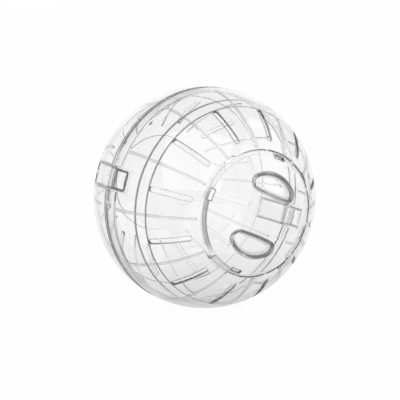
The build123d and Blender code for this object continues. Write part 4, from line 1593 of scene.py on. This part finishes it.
@dataclass
class Studio:
    """White sweep, soft light and the camera."""

    bounces: int = 32
    floor_level: float = -0.07
    floor_reach: float = 6.0
    floor_colour: tuple[float, float, float] = (0.96, 0.96, 0.96)
    floor_white: float = 0.97
    floor_near: float = 0.55
    floor_far: float = 0.88
    floor_fade: tuple[float, float] = (0.08, 0.42)
    floor_rough: float = 0.9
    floor_gloss: float = 0.1
    ambient: float = 0.55
    azimuth: float = -31.7
    elevation: float = 11.4
    distance: float = 0.7056
    lens: float = 100.1
    sensor: float = 36.0
    shift: tuple[float, float] = (-0.0112, -0.0072)
    lamps: tuple[SoftBox, ...] = (
        SoftBox("key_softbox", (-0.9, -0.9, 1.5), 2.4, 14.0),
        SoftBox("fill_softbox", (1.4, -0.7, 0.9), 1.8, 6.0),
    )

    @staticmethod
    def seen(kit: NodeKit) -> bpy.types.NodeSocket:
        """1 for rays that see the surroundings: from the camera, by reflection or through clear plastic.

        Args:
            kit: The tree that the nodes go into.

        Returns:
            The output that carries the number.
        """
        path = kit.node("ShaderNodeLightPath")
        pair = kit.node("ShaderNodeMath", operation="MAXIMUM")
        every = kit.node("ShaderNodeMath", operation="MAXIMUM")
        kit.link(path.outputs["Is Camera Ray"], pair.inputs[0])
        kit.link(path.outputs["Is Glossy Ray"], pair.inputs[1])
        kit.link(pair.outputs["Value"], every.inputs[0])
        kit.link(path.outputs["Is Transmission Ray"], every.inputs[1])
        return every.outputs["Value"]

    def build_world(self) -> None:
        """White surroundings, at full strength where they are seen and at a lower level as light."""
        world = bpy.data.worlds.new("white_studio")
        world.use_nodes = True
        kit = NodeKit(world.node_tree)
        level = kit.node("ShaderNodeMix", data_type="FLOAT")
        level.inputs["A"].default_value, level.inputs["B"].default_value = self.ambient, 1.0
        kit.link(self.seen(kit), level.inputs["Factor"])
        surround = world.node_tree.nodes["Background"]
        surround.inputs["Color"].default_value = (1.0, 1.0, 1.0, 1.0)
        kit.link(level.outputs["Result"], surround.inputs["Strength"])
        bpy.context.scene.world = world

    def build_floor(self) -> bpy.types.Object:
        """Pale floor that takes the ball's shadow and is seen close to white.

        Through the plastic it is seen less white, by a share that is lower close under the ball: painted
        shadow there, on top of the paper's real shadow.

        Returns:
            The floor.
        """
        reach, level = self.floor_reach, self.floor_level
        mesh = bpy.data.meshes.new("floor")
        corners = [(x * reach, y * reach, level) for x, y in ((-1, -1), (1, -1), (1, 1), (-1, 1))]
        mesh.from_pydata(corners, [], [(0, 1, 2, 3)])
        material = bpy.data.materials.new("floor_paper")
        material.use_nodes = True
        kit = NodeKit(material.node_tree)
        paper = material.node_tree.nodes["Principled BSDF"]
        paper.inputs["Base Color"].default_value = (*self.floor_colour, 1.0)
        paper.inputs["Roughness"].default_value = self.floor_rough
        paper.inputs["Specular IOR Level"].default_value = self.floor_gloss
        white = kit.node("ShaderNodeEmission", Strength=1.0)
        path = kit.node("ShaderNodeLightPath")
        spot, away = kit.node("ShaderNodeTexCoord"), kit.node("ShaderNodeVectorMath", operation="LENGTH")
        kit.link(spot.outputs["Object"], away.inputs[0])
        # Painted shadow: the white share falls close under the ball.
        near, far = self.floor_fade
        clear = kit.node("ShaderNodeMapRange", From_Min=near, From_Max=far, To_Min=self.floor_near,
                         To_Max=self.floor_far)
        kit.link(away.outputs["Value"], clear.inputs["Value"])
        through = kit.node("ShaderNodeMath", operation="MULTIPLY")
        kit.link(clear.outputs["Result"], through.inputs[1])
        kit.link(self.seen(kit), through.inputs[0])
        direct = kit.node("ShaderNodeMath", operation="MULTIPLY")
        direct.inputs[1].default_value = self.floor_white
        kit.link(path.outputs["Is Camera Ray"], direct.inputs[0])
        share = kit.node("ShaderNodeMath", operation="MAXIMUM")
        kit.link(through.outputs["Value"], share.inputs[0])
        kit.link(direct.outputs["Value"], share.inputs[1])
        blend = kit.node("ShaderNodeMixShader")
        kit.link(share.outputs["Value"], blend.inputs["Fac"])
        kit.link(paper.outputs["BSDF"], blend.inputs[1])
        kit.link(white.outputs["Emission"], blend.inputs[2])
        kit.link(blend.outputs["Shader"], material.node_tree.nodes["Material Output"].inputs["Surface"])
        mesh.materials.append(material)
        floor = bpy.data.objects.new("floor", mesh)
        bpy.context.scene.collection.objects.link(floor)
        return floor

    def build_camera(self) -> bpy.types.Object:
        """Camera at the photograph's viewing angle, distance and framing.

        Returns:
            The camera.
        """
        data = bpy.data.cameras.new("camera")
        data.lens, data.sensor_width = self.lens, self.sensor
        data.shift_x, data.shift_y = self.shift
        camera = bpy.data.objects.new("camera", data)
        bpy.context.scene.collection.objects.link(camera)
        turn, lift = math.radians(self.azimuth), math.radians(self.elevation)
        back = Vector((math.sin(turn) * math.cos(lift), -math.cos(turn) * math.cos(lift), math.sin(lift)))
        camera.location = back * self.distance
        camera.rotation_mode = "QUATERNION"
        camera.rotation_quaternion = (-back).to_track_quat("-Z", "Y")
        bpy.context.scene.camera = camera
        return camera

    def build(self) -> None:
        """Sets up the whole studio."""
        bpy.context.scene.view_settings.view_transform = "Standard"
        cycles = bpy.context.scene.cycles
        cycles.max_bounces = cycles.transmission_bounces = cycles.glossy_bounces = self.bounces
        self.build_world()
        self.build_floor()
        for lamp in self.lamps:
            lamp.build()
        self.build_camera()


def seat(piece: bpy.types.Object, material: bpy.types.Material, body: str, node: str) -> None:
    """Dresses a finished piece and ties it to the part.

    Args:
        piece: The piece.
        material: Its finish.
        body: The body that it moves with.
        node: The part's node that it stands for.
    """
    piece.data.materials.append(material)
    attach(piece, body)
    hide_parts(node)
    log.info("%s: %d faces, rides on %s", piece.name, len(piece.data.polygons), body)


def main() -> None:
    """Builds the studio, the finishes and the five pieces in order, and logs each piece's faces."""
    logging.basicConfig(level=logging.INFO, format="%(message)s")
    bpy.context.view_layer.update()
    ball = Ball()
    Studio().build()
    marks = MouldMarksAndPaintedShade().group()
    shell_plastic = ClearPlastic("clear_shell_plastic").build(marks)
    door_plastic = ClearPlastic("clear_door_plastic", haze=0.03).build(marks)
    clip_plastic = ClearPlastic("clear_clip_plastic", rub=0.08).build(marks)
    for half in Half:
        piece = HalfShell(ball, half).build(half.value + "_half_wall")
        seat(piece, shell_plastic, half.value + "_half", half.value + "_shell")
    seat(TwistDoor(ball).build("twist_door"), door_plastic, "door", "door")
    for side in Side:
        name = side.name.lower()
        piece = SwingClip(ball, side).build(name + "_swing_clip")
        seat(piece, clip_plastic, name + "_clip", name + "_clip")
    bpy.context.view_layer.update()


if __name__ == "__main__":
    main()
